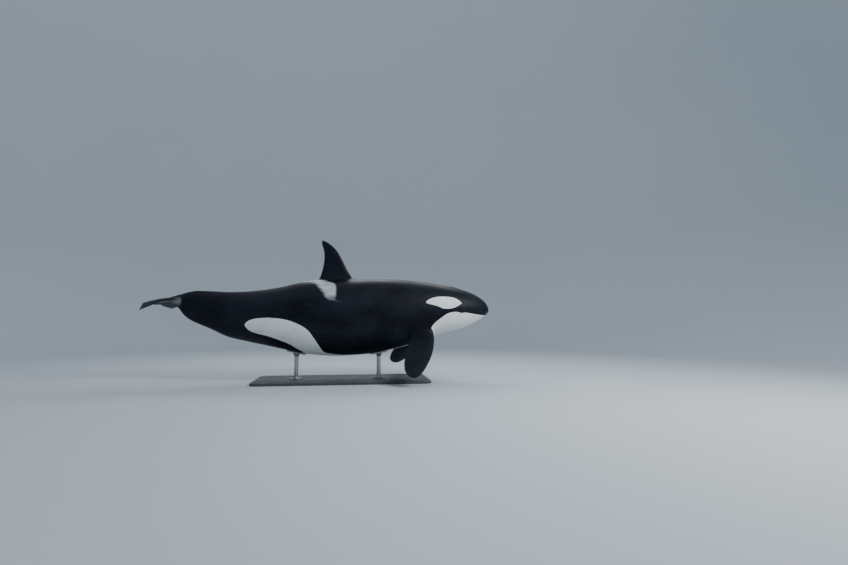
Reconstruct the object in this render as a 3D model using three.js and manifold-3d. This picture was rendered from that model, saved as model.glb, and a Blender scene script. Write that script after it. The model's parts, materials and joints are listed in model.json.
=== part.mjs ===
// A life-size orca, gliding level, carried on a plain display stand.
// Millimetres, +X ahead of the snout, +Y to the animal's left, +Z up, floor at z = 0.
// Places on the animal are given as s, the distance behind the snout tip, and as heights from LEVEL.

import * as THREE from 'three';
import { mergeVertices } from 'three/addons/utils/BufferGeometryUtils.js';
import Module from 'manifold-3d';

const wasm = await Module();
wasm.setup();

// Driving dimensions
const LENGTH = 5700; // snout tip to the notch between the flukes
const LEVEL = 1040; // height above the floor of the level that the profile is measured from
const GAP = 0.3; // clearance between pieces that touch
const RINGS = 54; // sections along the body
const SIDES = 32; // facets round the body
const FIN_SIDES = 18; // facets round a fin
const FIN_RINGS = 12; // sections from the root of a fin to its tip
const BALL_SIDES = 12;
const BALL_RINGS = 8;
const ROD_SIDES = 18; // facets round a rod and its flange
const INLAY_DEPTH = 26; // thickness of the white and grey pieces of skin
const INLAY_LIFT = 60; // how far their cutting forms stand out of the skin
const CLEAR = 400; // more than any cutting form needs to pass the skin

// Profile of the body: height of back and belly, half width and the height where it is widest.
// keel is 0.5 for a round section and rises towards 1 for a sharp ridge above and below.
const STATIONS = [
  { s: 0, top: 150, bottom: 150, half: 0, widest: 150, keel: 0.5 },
  { s: 30, top: 262, bottom: 106, half: 112, widest: 170, keel: 0.5 },
  { s: 80, top: 327, bottom: 66, half: 166, widest: 185, keel: 0.5 },
  { s: 150, top: 384, bottom: 4, half: 212, widest: 190, keel: 0.5 },
  { s: 300, top: 466, bottom: -70, half: 280, widest: 188, keel: 0.5 },
  { s: 520, top: 543, bottom: -160, half: 338, widest: 180, keel: 0.5 },
  { s: 800, top: 607, bottom: -224, half: 390, widest: 188, keel: 0.49 },
  { s: 1200, top: 664, bottom: -364, half: 438, widest: 160, keel: 0.48 },
  { s: 1700, top: 702, bottom: -508, half: 476, widest: 110, keel: 0.47 },
  { s: 2250, top: 698, bottom: -598, half: 498, widest: 60, keel: 0.47 },
  { s: 2650, top: 687, bottom: -617, half: 500, widest: 38, keel: 0.48 },
  { s: 3150, top: 666, bottom: -582, half: 466, widest: 30, keel: 0.5 },
  { s: 3650, top: 546, bottom: -476, half: 394, widest: 35, keel: 0.54 },
  { s: 4120, top: 478, bottom: -370, half: 298, widest: 50, keel: 0.6 },
  { s: 4450, top: 463, bottom: -289, half: 224, widest: 90, keel: 0.66 },
  { s: 4780, top: 476, bottom: -135, half: 152, widest: 178, keel: 0.72 },
  { s: 4960, top: 480, bottom: -58, half: 118, widest: 225, keel: 0.74 },
  { s: 5080, top: 463, bottom: 3, half: 98, widest: 256, keel: 0.72 },
  { s: 5190, top: 430, bottom: 98, half: 84, widest: 298, keel: 0.68 },
  { s: 5260, top: 411, bottom: 196, half: 78, widest: 316, keel: 0.64 },
  { s: 5380, top: 372, bottom: 250, half: 76, widest: 302, keel: 0.58 },
  { s: 5560, top: 302, bottom: 246, half: 66, widest: 270, keel: 0.5 },
  { s: 5660, top: 262, bottom: 238, half: 44, widest: 250, keel: 0.5 },
  { s: LENGTH, top: 243, bottom: 243, half: 0, widest: 243, keel: 0.5 },
];

// How the rings are spread from snout (0) to notch (1), closest at the head and the tail.
const RING_SPREAD = [
  [0, 0],
  [0.26, 690],
  [0.5, 2400],
  [0.72, 4300],
  [0.88, 5230],
  [1, LENGTH],
];

// Cuts between the named parts of the body
const NECK_CUT = { s: 1105, lean: 0.371 }; // leans back towards the top, clear of patch and fin
const STOCK_CUT = { s: 4230, lean: -0.12 };

// Mouth: height of its line along the jaw, from the front of the lips to the corner
const MOUTH = { front: -20, corner: 575, opening: 5 };
const MOUTH_LINE = [
  [-40, 62],
  [75, 72],
  [240, 86],
  [412, 113],
  [490, 122],
  [575, 108],
];
const LIP = { rise: 7, height: 30 }; // each lip's swelling, and its height from the seam
const JAW_HINGE = { s: 655, drop: 60, bottomS: 760 }; // rear face of the lower jaw

// Eyes
const EYE = { s: 508, height: 186, radius: 25, proud: 5 };
const EYELID = { length: 150, height: 96, rise: 9, root: 26, openLength: 54, openHeight: 30 };

// Blowhole, a crescent whose horns point ahead
const BLOWHOLE = { s: 640, width: 96, slot: 15, depth: 34, mound: 150, root: 40, rise: 9 };

// Dorsal fin: how far behind the snout its two edges are at each height
const DORSAL = { foot: 610, tip: 1368, thickness: 84, flare: 34 };
const DORSAL_FRONT = [
  [610, 2330],
  [718, 2418],
  [855, 2504],
  [1027, 2589],
  [1198, 2691],
  [1290, 2785],
  [1345, 2868],
  [1368, 2928],
];
const DORSAL_BACK = [
  [610, 3110],
  [690, 3022],
  [729, 2972],
  [850, 2929],
  [987, 2903],
  [1108, 2897],
  [1210, 2912],
  [1330, 2944],
  [1368, 2938],
];

// Pectoral fins: paddles that spread out, down and a little back
const PECTORAL = {
  root: { s: 1240, out: 250, height: -170 },
  tips: {
    right: { s: 1482, out: 1150, height: -886 },
    left: { s: 1578, out: 1150, height: -838 },
  },
  thickness: 78,
  flare: 30,
};
const PECTORAL_FRONT = [
  [0, 222],
  [0.25, 252],
  [0.5, 234],
  [0.7, 190],
  [0.86, 134],
  [0.96, 74],
  [1, 0],
];
const PECTORAL_BACK = [
  [0, 160],
  [0.25, 168],
  [0.5, 186],
  [0.7, 188],
  [0.86, 160],
  [0.96, 97],
  [1, 0],
];

// Flukes: edges behind the snout by the distance out from the midline
const FLUKE = { span: 720, thickness: 82, flare: 20, rootHeight: 330, pitch: 0.16, twist: 1.4 };
const FLUKE_FRONT = [
  [0, 5150],
  [80, 5190],
  [250, 5272],
  [430, 5392],
  [600, 5514],
  [690, 5572],
  [720, 5592],
];
const FLUKE_BACK = [
  [0, 5700],
  [55, 5716],
  [105, 5736],
  [150, 5741],
  [210, 5730],
  [290, 5704],
  [400, 5666],
  [560, 5630],
  [680, 5606],
  [720, 5599],
];
// Both flukes bow up by the root. The right one curls down at its tip, and the left one droops
// from a third of its span.
const FLUKE_DROOP = {
  right: [
    [0, 0],
    [130, -28],
    [260, -36],
    [400, -9],
    [500, 28],
    [600, 68],
    [720, 114],
  ],
  left: [
    [0, 0],
    [120, -28],
    [240, -24],
    [330, 22],
    [460, 90],
    [720, 166],
  ],
};

// Markings, as heights along each side or as the spread of white round the belly in radians
const EYE_PATCH_TOP = [
  [552, 284],
  [615, 340],
  [690, 375],
  [850, 392],
  [1030, 377],
  [1120, 348],
  [1182, 298],
];
const EYE_PATCH_BOTTOM = [
  [552, 274],
  [615, 243],
  [690, 205],
  [800, 185],
  [900, 194],
  [980, 227],
  [1130, 267],
  [1182, 290],
];
const SADDLE_TOP = [
  [2655, 500],
  [2700, 580],
  [2760, 617],
  [2860, 652],
  [2900, 800],
  [3070, 800],
];
const SADDLE_BOTTOM = [
  [2655, 440],
  [2700, 320],
  [2760, 308],
  [2860, 378],
  [2970, 540],
  [3070, 628],
];
const UNDER_SPREAD = [
  [560, 1.38],
  [650, 1.43],
  [760, 1.4],
  [850, 1.31],
  [930, 1.2],
  [1020, 1.07],
  [1080, 0.94],
  [1104, 0.82],
  [1112, 0.44],
  [1180, 0.3],
  [1420, 0.22],
  [1700, 0.18],
  [2050, 0.17],
  [2400, 0.22],
  [2640, 0.31],
  [2860, 0.42],
  [3060, 0.34],
  [3400, 0.18],
  [3900, 0.14],
  [4060, 0.06],
];
const THROAT_REACH = [560, 1240];
const BELLY_REACH = [960, 4060];
const FLANK_TOP = [
  [2880, -590],
  [2945, -473],
  [3004, -369],
  [3066, -269],
  [3127, -178],
  [3222, -105],
  [3334, -41],
  [3446, 0],
  [3575, 26],
  [3735, 41],
  [3897, 37],
  [4028, 20],
  [4112, -8],
  [4166, -82],
];
const FLANK_BOTTOM = [
  [2880, -598],
  [3122, -577],
  [3229, -527],
  [3322, -473],
  [3430, -403],
  [3585, -337],
  [3745, -278],
  [3875, -245],
  [3988, -220],
  [4100, -171],
  [4166, -98],
];

// Stand
const BASE = { length: 2900, width: 1240, thickness: 40, corner: 120, bevel: 5, s: 2560 };
const RODS = [
  { name: 'front', s: 1950 },
  { name: 'back', s: 3340 },
];
const ROD_RADIUS = 36;
const FLANGE = { radius: 105, thickness: 18, collar: 52, collarHeight: 60, bolts: 4, boltRadius: 11 };
const CRADLE = { length: 300, spread: 0.26, thickness: 22 };

// Materials
const finish = (color, roughness, metalness = 0) =>
  new THREE.MeshStandardMaterial({ color, roughness, metalness });
const BLACK_SKIN = finish(0x0c1016, 0.34);
const WHITE_SKIN = finish(0xe6ecee, 0.36);
const GREY_SKIN = finish(0x93a2b0, 0.38);
const EYE_GLOSS = finish(0x150d09, 0.08);
const DARK_STEEL = finish(0x2b2e31, 0.45, 0.85);

// A smooth curve through [x, y] pairs that never overshoots them.
function curveThrough(pairs) {
  const n = pairs.length;
  const slope = [];
  for (let i = 0; i < n - 1; i++) {
    slope.push((pairs[i + 1][1] - pairs[i][1]) / (pairs[i + 1][0] - pairs[i][0]));
  }
  const tangent = pairs.map((p, i) => {
    if (i === 0) return slope[0];
    if (i === n - 1) return slope[n - 2];
    if (slope[i - 1] * slope[i] <= 0) return 0;
    const before = pairs[i][0] - pairs[i - 1][0];
    const after = pairs[i + 1][0] - pairs[i][0];
    const weight = 3 * (before + after);
    return weight / ((2 * after + before) / slope[i - 1] + (after + 2 * before) / slope[i]);
  });
  return (x) => {
    if (x <= pairs[0][0]) return pairs[0][1];
    if (x >= pairs[n - 1][0]) return pairs[n - 1][1];
    let i = 0;
    while (x > pairs[i + 1][0]) i++;
    const step = pairs[i + 1][0] - pairs[i][0];
    const t = (x - pairs[i][0]) / step;
    const near = (1 + 2 * t) * (1 - t) ** 2 * pairs[i][1] + t * (1 - t) ** 2 * step * tangent[i];
    const far = t * t * (3 - 2 * t) * pairs[i + 1][1] + t * t * (t - 1) * step * tangent[i + 1];
    return near + far;
  };
}

// The profile is smooth in the root of s, which rounds the snout.
const along = {};
for (const key of ['top', 'bottom', 'half', 'widest', 'keel']) {
  along[key] = curveThrough(STATIONS.map((station) => [Math.sqrt(station.s), station[key]]));
}
const ringSpread = curveThrough(RING_SPREAD.map(([t, s]) => [t, Math.sqrt(s)]));

function sectionAt(s, grow) {
  const q = Math.sqrt(Math.min(Math.max(s, 0), LENGTH));
  return {
    top: along.top(q) + grow,
    bottom: along.bottom(q) - grow,
    half: along.half(q) + grow,
    widest: along.widest(q),
    keel: along.keel(q),
  };
}

// A point of the skin: angle 0 is the back, PI the belly, and angles under PI are on the left.
function skinPoint(s, angle, grow = 0) {
  const { top, bottom, half, widest, keel } = sectionAt(s, grow);
  const rise = Math.cos(angle);
  const reach = Math.pow(Math.max(0, 1 - rise * rise), keel) * half;
  const z = rise > 0 ? widest + rise * (top - widest) : widest + rise * (widest - bottom);
  return new THREE.Vector3(-s, Math.sign(Math.sin(angle)) * reach, LEVEL + z);
}

// The angle at which the left side of the skin has a given height.
function angleAt(s, height) {
  const { top, bottom, widest } = sectionAt(s, 0);
  const rise = height > widest ? (height - widest) / (top - widest) : (height - widest) / (widest - bottom);
  return Math.acos(Math.min(1, Math.max(-1, rise)));
}

// Solids
function solid(geometry) {
  const bare = geometry.clone();
  bare.deleteAttribute('normal');
  bare.deleteAttribute('uv');
  const merged = mergeVertices(bare, 1e-3);
  const triVerts = new Uint32Array(merged.index.array);
  const build = () =>
    new wasm.Manifold(
      new wasm.Mesh({ numProp: 3, vertProperties: merged.attributes.position.array, triVerts }),
    );
  const made = build();
  if (made.volume() > 0) return made;
  for (let i = 0; i < triVerts.length; i += 3) {
    [triVerts[i], triVerts[i + 1]] = [triVerts[i + 1], triVerts[i]];
  }
  return build();
}

function largest(manifold) {
  return manifold.decompose().reduce((best, body) => (body.volume() > best.volume() ? body : best));
}

function addMesh(group, name, manifold, material) {
  const { vertProperties, triVerts, numProp } = largest(manifold).getMesh();
  const positions = new Float32Array((vertProperties.length / numProp) * 3);
  for (let i = 0; i * numProp < vertProperties.length; i++) {
    positions.set(vertProperties.subarray(i * numProp, i * numProp + 3), i * 3);
  }
  const geometry = new THREE.BufferGeometry();
  geometry.setAttribute('position', new THREE.BufferAttribute(positions, 3));
  geometry.setIndex(new THREE.BufferAttribute(new Uint32Array(triVerts), 1));
  geometry.computeVertexNormals();
  const mesh = new THREE.Mesh(geometry, material);
  mesh.name = name;
  group.add(mesh);
}

// A closed form swept from one pole to the other: pointAt(around, along), both from 0 to 1.
function sweptForm(sides, rings, pointAt) {
  const geometry = new THREE.SphereGeometry(1, sides, rings);
  const { position, uv } = geometry.attributes;
  for (let i = 0; i < position.count; i++) {
    const p = pointAt(uv.getX(i), 1 - uv.getY(i));
    position.setXYZ(i, p.x, p.y, p.z);
  }
  return solid(geometry);
}

function bodyForm(grow) {
  return sweptForm(SIDES, RINGS, (around, t) => {
    const root = ringSpread(t);
    const p = skinPoint(root * root, around * 2 * Math.PI, t > 0 && t < 1 ? grow : 0);
    if (t === 0) p.x += grow;
    if (t === 1) p.x -= grow;
    return p;
  });
}

// A piece of the skin between two angles, from one depth to another, larger by grow all round.
// radius is the least distance from the body's middle at which its two long sides lie.
function skinBand({ from, to, low, high, outer, inner, rings, steps, grow, radius }) {
  const geometry = new THREE.BoxGeometry(1, 1, 1, rings, 1, steps);
  const { position } = geometry.attributes;
  const spare = grow / radius;
  for (let i = 0; i < position.count; i++) {
    const s = THREE.MathUtils.lerp(from, to, position.getX(i) + 0.5);
    const angle = THREE.MathUtils.lerp(low(s) - spare, high(s) + spare, position.getZ(i) + 0.5);
    const past = grow * Math.trunc(2 * position.getX(i)); // only the end faces move along s
    const p = skinPoint(s, angle, position.getY(i) > 0 ? outer : inner - grow);
    position.setXYZ(i, p.x - past, p.y, p.z);
  }
  return solid(geometry);
}

// A block whose outline lies in the plane of s and height, running across the whole animal.
function sideBlock(outline) {
  const halfWidth = 700;
  const shape = new THREE.Shape(outline.map(([s, z]) => new THREE.Vector2(-s, LEVEL + z)));
  const geometry = new THREE.ExtrudeGeometry(shape, { depth: 2 * halfWidth, bevelEnabled: false });
  geometry.rotateX(Math.PI / 2);
  geometry.translate(0, halfWidth, 0);
  return solid(geometry);
}

function slantedCut({ s, lean }, shift, ahead) {
  const reach = 1500;
  const end = ahead ? -CLEAR : LENGTH + CLEAR;
  return sideBlock([
    [s + shift + lean * reach, reach],
    [s + shift - lean * reach, -reach],
    [end, -reach],
    [end, reach],
  ]);
}

// Half thickness of a fin along its chord, round in front and thin behind, at most 0.5.
function foil(chord) {
  const c = Math.min(1, Math.max(0, chord));
  const bulk = 1.4845 * Math.sqrt(c) - 0.63 * c - 1.758 * c * c;
  return bulk + 1.4215 * c ** 3 - 0.508 * c ** 4;
}

// A fin: place(chord, height) gives its middle surface, and normal its thin direction.
function finForm({ sides, rings, thickness, place, normal }) {
  return sweptForm(sides, rings, (around, t) => {
    if (t === 0 || t === 1) return place(0.5, t);
    const height = Math.max(0, 1 - (1 - (t * rings - 1) / (rings - 1)) ** 1.5);
    const angle = around * 2 * Math.PI;
    const chord = (1 - Math.cos(angle)) / 2;
    const half = foil(chord) * thickness(height) * Math.sign(Math.sin(angle));
    return place(chord, height).addScaledVector(normal, half);
  });
}

const taper = (height, root, tip) => root + (tip - root) * height;
const finThickness = (height, root, tip) => taper(height, root, tip) * Math.sqrt(1 - height ** 6);

function dorsalFin() {
  const front = curveThrough(DORSAL_FRONT);
  const back = curveThrough(DORSAL_BACK);
  const tall = DORSAL.tip - DORSAL.foot;
  return finForm({
    sides: FIN_SIDES,
    rings: FIN_RINGS,
    normal: new THREE.Vector3(0, 1, 0),
    thickness: (h) => finThickness(h, DORSAL.thickness, 14) + DORSAL.flare * Math.exp(-((h * 6) ** 2)),
    place: (chord, h) => {
      const z = DORSAL.foot + h * tall;
      return new THREE.Vector3(-taper(chord, front(z), back(z)), 0, LEVEL + z);
    },
  });
}

function pectoralFin(side) {
  const { root, tips, thickness, flare } = PECTORAL;
  const tip = side > 0 ? tips.left : tips.right;
  const start = new THREE.Vector3(-root.s, side * root.out, LEVEL + root.height);
  const end = new THREE.Vector3(-tip.s, side * tip.out, LEVEL + tip.height);
  const span = end.clone().sub(start);
  const reach = span.length();
  span.normalize();
  const rearward = new THREE.Vector3(-1, 0, 0);
  rearward.addScaledVector(span, -rearward.dot(span)).normalize();
  const normal = new THREE.Vector3().crossVectors(span, rearward);
  const front = curveThrough(PECTORAL_FRONT);
  const back = curveThrough(PECTORAL_BACK);
  return finForm({
    sides: FIN_SIDES,
    rings: FIN_RINGS,
    normal,
    thickness: (h) => finThickness(h, thickness, 18) + flare * Math.exp(-((h * 5) ** 2)),
    place: (chord, h) =>
      start
        .clone()
        .addScaledVector(span, h * reach)
        .addScaledVector(rearward, taper(chord, -front(h), back(h))),
  });
}

function fluke(side) {
  const front = curveThrough(FLUKE_FRONT);
  const back = curveThrough(FLUKE_BACK);
  const droop = curveThrough(side > 0 ? FLUKE_DROOP.left : FLUKE_DROOP.right);
  return finForm({
    sides: FIN_SIDES,
    rings: FIN_RINGS,
    normal: new THREE.Vector3(0, 0, 1),
    thickness: (h) => finThickness(h, FLUKE.thickness, 12) + FLUKE.flare * Math.exp(-((h * 5) ** 2)),
    place: (chord, h) => {
      const s = taper(chord, front(h * FLUKE.span), back(h * FLUKE.span));
      const pitch = side > 0 ? FLUKE.pitch * (1 - FLUKE.twist * h) : FLUKE.pitch;
      const pitched = FLUKE.rootHeight - pitch * (s - FLUKE_FRONT[0][1]);
      const z = pitched - droop(h * FLUKE.span);
      return new THREE.Vector3(-s, side * h * FLUKE.span, LEVEL + z);
    },
  });
}

// Markings
function sideBand(side, pairsTop, pairsBottom, grow, rings, steps) {
  const top = curveThrough(pairsTop);
  const bottom = curveThrough(pairsBottom);
  const left = side > 0;
  return skinBand({
    from: pairsTop[0][0],
    to: pairsTop[pairsTop.length - 1][0],
    low: (s) => (left ? angleAt(s, top(s)) : 2 * Math.PI - angleAt(s, bottom(s))),
    high: (s) => (left ? angleAt(s, bottom(s)) : 2 * Math.PI - angleAt(s, top(s))),
    outer: INLAY_LIFT,
    inner: -INLAY_DEPTH,
    rings,
    steps,
    grow,
    radius: 400,
  });
}

const underSpread = curveThrough(UNDER_SPREAD);

function underBand([from, to], grow, rings, steps) {
  return skinBand({
    from,
    to,
    low: (s) => Math.PI - underSpread(s),
    high: (s) => Math.PI + underSpread(s),
    outer: INLAY_LIFT,
    inner: -INLAY_DEPTH,
    rings,
    steps,
    grow,
    radius: 300,
  });
}

const MARKINGS = {
  eye_patch_left: (grow) => sideBand(1, EYE_PATCH_TOP, EYE_PATCH_BOTTOM, grow, 9, 2),
  eye_patch_right: (grow) => sideBand(-1, EYE_PATCH_TOP, EYE_PATCH_BOTTOM, grow, 9, 2),
  throat_patch: (grow) => underBand(THROAT_REACH, grow, 9, 6),
};

function saddleForm(grow) {
  const left = sideBand(1, SADDLE_TOP, SADDLE_BOTTOM, grow, 6, 2);
  return left.add(sideBand(-1, SADDLE_TOP, SADDLE_BOTTOM, grow, 6, 2));
}

function bellyForm(grow) {
  return underBand(BELLY_REACH, grow, 18, 2)
    .add(sideBand(1, FLANK_TOP, FLANK_BOTTOM, grow, 12, 2))
    .add(sideBand(-1, FLANK_TOP, FLANK_BOTTOM, grow, 12, 2));
}

// Mouth
const mouthHeight = curveThrough(MOUTH_LINE);

function mouthEdge(shift, until) {
  const steps = 10;
  const edge = [];
  for (let i = 0; i <= steps; i++) {
    const s = taper(i / steps, MOUTH.front, until);
    edge.push([s, mouthHeight(s) + shift]);
  }
  return edge;
}

// The block that holds the lower jaw: under the line of the mouth and ahead of the hinge.
function jawBlock(shift, grow) {
  return sideBlock([
    ...mouthEdge(shift, MOUTH.corner),
    [JAW_HINGE.s + grow, mouthHeight(MOUTH.corner) - JAW_HINGE.drop + grow],
    [JAW_HINGE.bottomS + grow, -CLEAR],
    [MOUTH.front - CLEAR, -CLEAR],
    [MOUTH.front - CLEAR, mouthHeight(MOUTH.front) + shift],
  ]);
}

// The two lips: a raised band that follows the mouth round the snout from corner to corner.
function lipForm() {
  const above = mouthEdge(LIP.height, MOUTH.corner);
  const below = mouthEdge(-LIP.height, MOUTH.corner).reverse();
  return bodyForm(LIP.rise).intersect(sideBlock([...above, ...below]));
}

// Eyes
function eyeCentre(side) {
  const onSkin = skinPoint(EYE.s, angleAt(EYE.s, EYE.height));
  return new THREE.Vector3(onSkin.x, side * (onSkin.y + EYE.proud - EYE.radius), onSkin.z);
}

function ball(centre, size) {
  const geometry = new THREE.SphereGeometry(1, BALL_SIDES, BALL_RINGS);
  geometry.scale(size.x, size.y, size.z);
  geometry.translate(centre.x, centre.y, centre.z);
  return solid(geometry);
}

function eyeBall(side, grow) {
  const r = EYE.radius + grow;
  return ball(eyeCentre(side), new THREE.Vector3(r, r, r));
}

// The swelling of the two lids.
function eyelids(side) {
  const onSkin = skinPoint(EYE.s, angleAt(EYE.s, EYE.height));
  const centre = new THREE.Vector3(onSkin.x, side * (onSkin.y - EYELID.root), onSkin.z);
  const size = new THREE.Vector3(EYELID.length / 2, EYELID.root + EYELID.rise, EYELID.height / 2);
  return ball(centre, size);
}

// The almond opening between the lids, cut from outside down to the eye.
function eyeOpening(side) {
  const centre = eyeCentre(side);
  const shape = new THREE.Shape();
  const x = EYELID.openLength / 2;
  const z = EYELID.openHeight;
  shape.moveTo(-x, 0);
  shape.quadraticCurveTo(0, z, x, 0);
  shape.quadraticCurveTo(0, -z, -x, 0);
  const options = { depth: CLEAR, bevelEnabled: false, curveSegments: 6 };
  const geometry = new THREE.ExtrudeGeometry(shape, options);
  geometry.rotateX(Math.PI / 2);
  geometry.translate(centre.x, side > 0 ? centre.y + CLEAR : centre.y, centre.z);
  return solid(geometry);
}

// Blowhole
function blowholeMound() {
  const onSkin = skinPoint(BLOWHOLE.s, 0);
  const { mound, root, rise } = BLOWHOLE;
  const size = new THREE.Vector3(mound / 2, mound / 2, root + rise);
  return ball(onSkin.setZ(onSkin.z - root), size);
}

function blowholeSlot() {
  const outer = BLOWHOLE.width / 2;
  const shape = new THREE.Shape();
  shape.absarc(0, 0, outer, -Math.PI / 2, Math.PI / 2, true);
  shape.quadraticCurveTo(-2 * (outer - BLOWHOLE.slot), 0, 0, -outer);
  const geometry = new THREE.ExtrudeGeometry(shape, {
    depth: BLOWHOLE.depth + CLEAR,
    bevelEnabled: false,
    curveSegments: 10,
  });
  const top = skinPoint(BLOWHOLE.s, 0);
  geometry.translate(top.x + outer / 2, 0, top.z - BLOWHOLE.depth);
  return solid(geometry);
}

// Stand
function baseForm() {
  const x = BASE.length / 2 - BASE.bevel;
  const y = BASE.width / 2 - BASE.bevel;
  const r = BASE.corner;
  const shape = new THREE.Shape();
  shape.moveTo(-x + r, -y);
  shape.absarc(x - r, -y + r, r, -Math.PI / 2, 0, false);
  shape.absarc(x - r, y - r, r, 0, Math.PI / 2, false);
  shape.absarc(-x + r, y - r, r, Math.PI / 2, Math.PI, false);
  shape.absarc(-x + r, -y + r, r, Math.PI, 1.5 * Math.PI, false);
  const geometry = new THREE.ExtrudeGeometry(shape, {
    depth: BASE.thickness - 2 * BASE.bevel,
    bevelThickness: BASE.bevel,
    bevelSize: BASE.bevel,
    bevelSegments: 1,
    curveSegments: 4,
  });
  geometry.translate(-BASE.s, 0, BASE.bevel);
  return solid(geometry);
}

function cradleForm(s, grow) {
  return skinBand({
    from: s - CRADLE.length / 2,
    to: s + CRADLE.length / 2,
    low: () => Math.PI - CRADLE.spread,
    high: () => Math.PI + CRADLE.spread,
    outer: CRADLE.thickness + grow,
    inner: -2 * CRADLE.thickness,
    rings: 4,
    steps: 6,
    grow,
    radius: 400,
  });
}

function rodForm(s) {
  const top = skinPoint(s, Math.PI).z;
  const foot = BASE.thickness + GAP;
  const geometry = new THREE.CylinderGeometry(ROD_RADIUS, ROD_RADIUS, top - foot, ROD_SIDES);
  geometry.rotateX(Math.PI / 2);
  geometry.translate(-s, 0, (top + foot) / 2);
  return solid(geometry).subtract(cradleForm(s, GAP));
}

function flangeForm(s) {
  const inner = ROD_RADIUS + GAP;
  const foot = BASE.thickness + GAP;
  const { radius, thickness, collar, collarHeight, bolts, boltRadius } = FLANGE;
  const profile = [
    [inner, foot],
    [radius, foot],
    [radius, foot + thickness],
    [collar + 8, foot + thickness],
    [collar, foot + thickness + 8],
    [collar, foot + collarHeight],
    [inner, foot + collarHeight],
    [inner, foot],
  ].map(([r, z]) => new THREE.Vector2(r, z));
  const geometry = new THREE.LatheGeometry(profile, ROD_SIDES);
  geometry.rotateX(Math.PI / 2);
  geometry.translate(-s, 0, 0);
  let ring = solid(geometry);
  for (let i = 0; i < bolts; i++) {
    const turn = ((i + 0.5) / bolts) * 2 * Math.PI;
    const head = new THREE.CylinderGeometry(boltRadius, boltRadius, 14, 6);
    head.rotateX(Math.PI / 2);
    const reach = (radius + collar) / 2 + 2;
    head.translate(-s + reach * Math.cos(turn), reach * Math.sin(turn), foot + thickness + 3);
    ring = ring.add(solid(head));
  }
  return ring;
}

// The animal
const orca = new THREE.Group();
const body = bodyForm(0);
const clear = bodyForm(GAP);

function buildHead() {
  let whole = body.intersect(slantedCut(NECK_CUT, -GAP / 2, true));
  for (const side of [1, -1]) whole = whole.add(eyelids(side));
  whole = whole.add(blowholeMound()).subtract(blowholeSlot());
  for (const side of [1, -1]) {
    whole = whole.subtract(eyeBall(side, GAP)).subtract(eyeOpening(side));
    addMesh(orca, side > 0 ? 'eye_left' : 'eye_right', eyeBall(side, 0), EYE_GLOSS);
  }
  whole = whole.add(lipForm());
  addMesh(orca, 'lower_jaw', whole.intersect(jawBlock(-MOUTH.opening / 2, 0)), WHITE_SKIN);
  let skull = whole.subtract(jawBlock(MOUTH.opening / 2, GAP));
  for (const [name, form] of Object.entries(MARKINGS)) {
    addMesh(orca, name, skull.intersect(form(0)), WHITE_SKIN);
    skull = skull.subtract(form(GAP));
  }
  addMesh(orca, 'head', skull, BLACK_SKIN);
}

function buildTorso() {
  let torso = body.intersect(slantedCut(NECK_CUT, GAP / 2, false));
  torso = torso.intersect(slantedCut(STOCK_CUT, -GAP / 2, true));
  addMesh(orca, 'saddle_patch', torso.intersect(saddleForm(0)), GREY_SKIN);
  addMesh(orca, 'belly_patch', torso.intersect(bellyForm(0)), WHITE_SKIN);
  torso = torso.subtract(saddleForm(GAP)).subtract(bellyForm(GAP));
  addMesh(orca, 'torso', torso, BLACK_SKIN);
  addMesh(orca, 'dorsal_fin', dorsalFin().subtract(clear), BLACK_SKIN);
  addMesh(orca, 'pectoral_left', pectoralFin(1).subtract(clear), BLACK_SKIN);
  addMesh(orca, 'pectoral_right', pectoralFin(-1).subtract(clear), BLACK_SKIN);
}

function buildTail() {
  addMesh(orca, 'tail_stock', body.intersect(slantedCut(STOCK_CUT, GAP / 2, false)), BLACK_SKIN);
  addMesh(orca, 'fluke_left', fluke(1).subtract(clear), BLACK_SKIN);
  addMesh(orca, 'fluke_right', fluke(-1).subtract(clear), BLACK_SKIN);
}

function buildStand() {
  addMesh(orca, 'stand_base', baseForm(), DARK_STEEL);
  for (const { name, s } of RODS) {
    addMesh(orca, 'stand_rod_' + name, rodForm(s), DARK_STEEL);
    addMesh(orca, 'stand_flange_' + name, flangeForm(s), DARK_STEEL);
    addMesh(orca, 'stand_cradle_' + name, cradleForm(s, 0).subtract(clear), DARK_STEEL);
  }
}

buildHead();
buildTorso();
buildTail();
buildStand();

// The origin is on the floor, under the middle of the whole model.
const middle = new THREE.Box3().setFromObject(orca).getCenter(new THREE.Vector3());
orca.children.forEach((mesh) => mesh.geometry.translate(-middle.x, -middle.y, 0));

export default orca;
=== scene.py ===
# %% [markdown]
# # An orca for a museum hall
# The model is a life-size orca that glides level on two rods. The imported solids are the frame:
# they say where every part is. Here the solids of flesh get one seamless skin, with lips, lids,
# blowhole and markings, and the stand gets finely turned pieces.
# Places on the animal are given in millimetres, as s, the distance behind the tip of the snout,
# and as heights from one level line. The helpers x_of and z_of turn them into the frame, and
# s_of and height_of read them back from its points.

import json
import math

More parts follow.
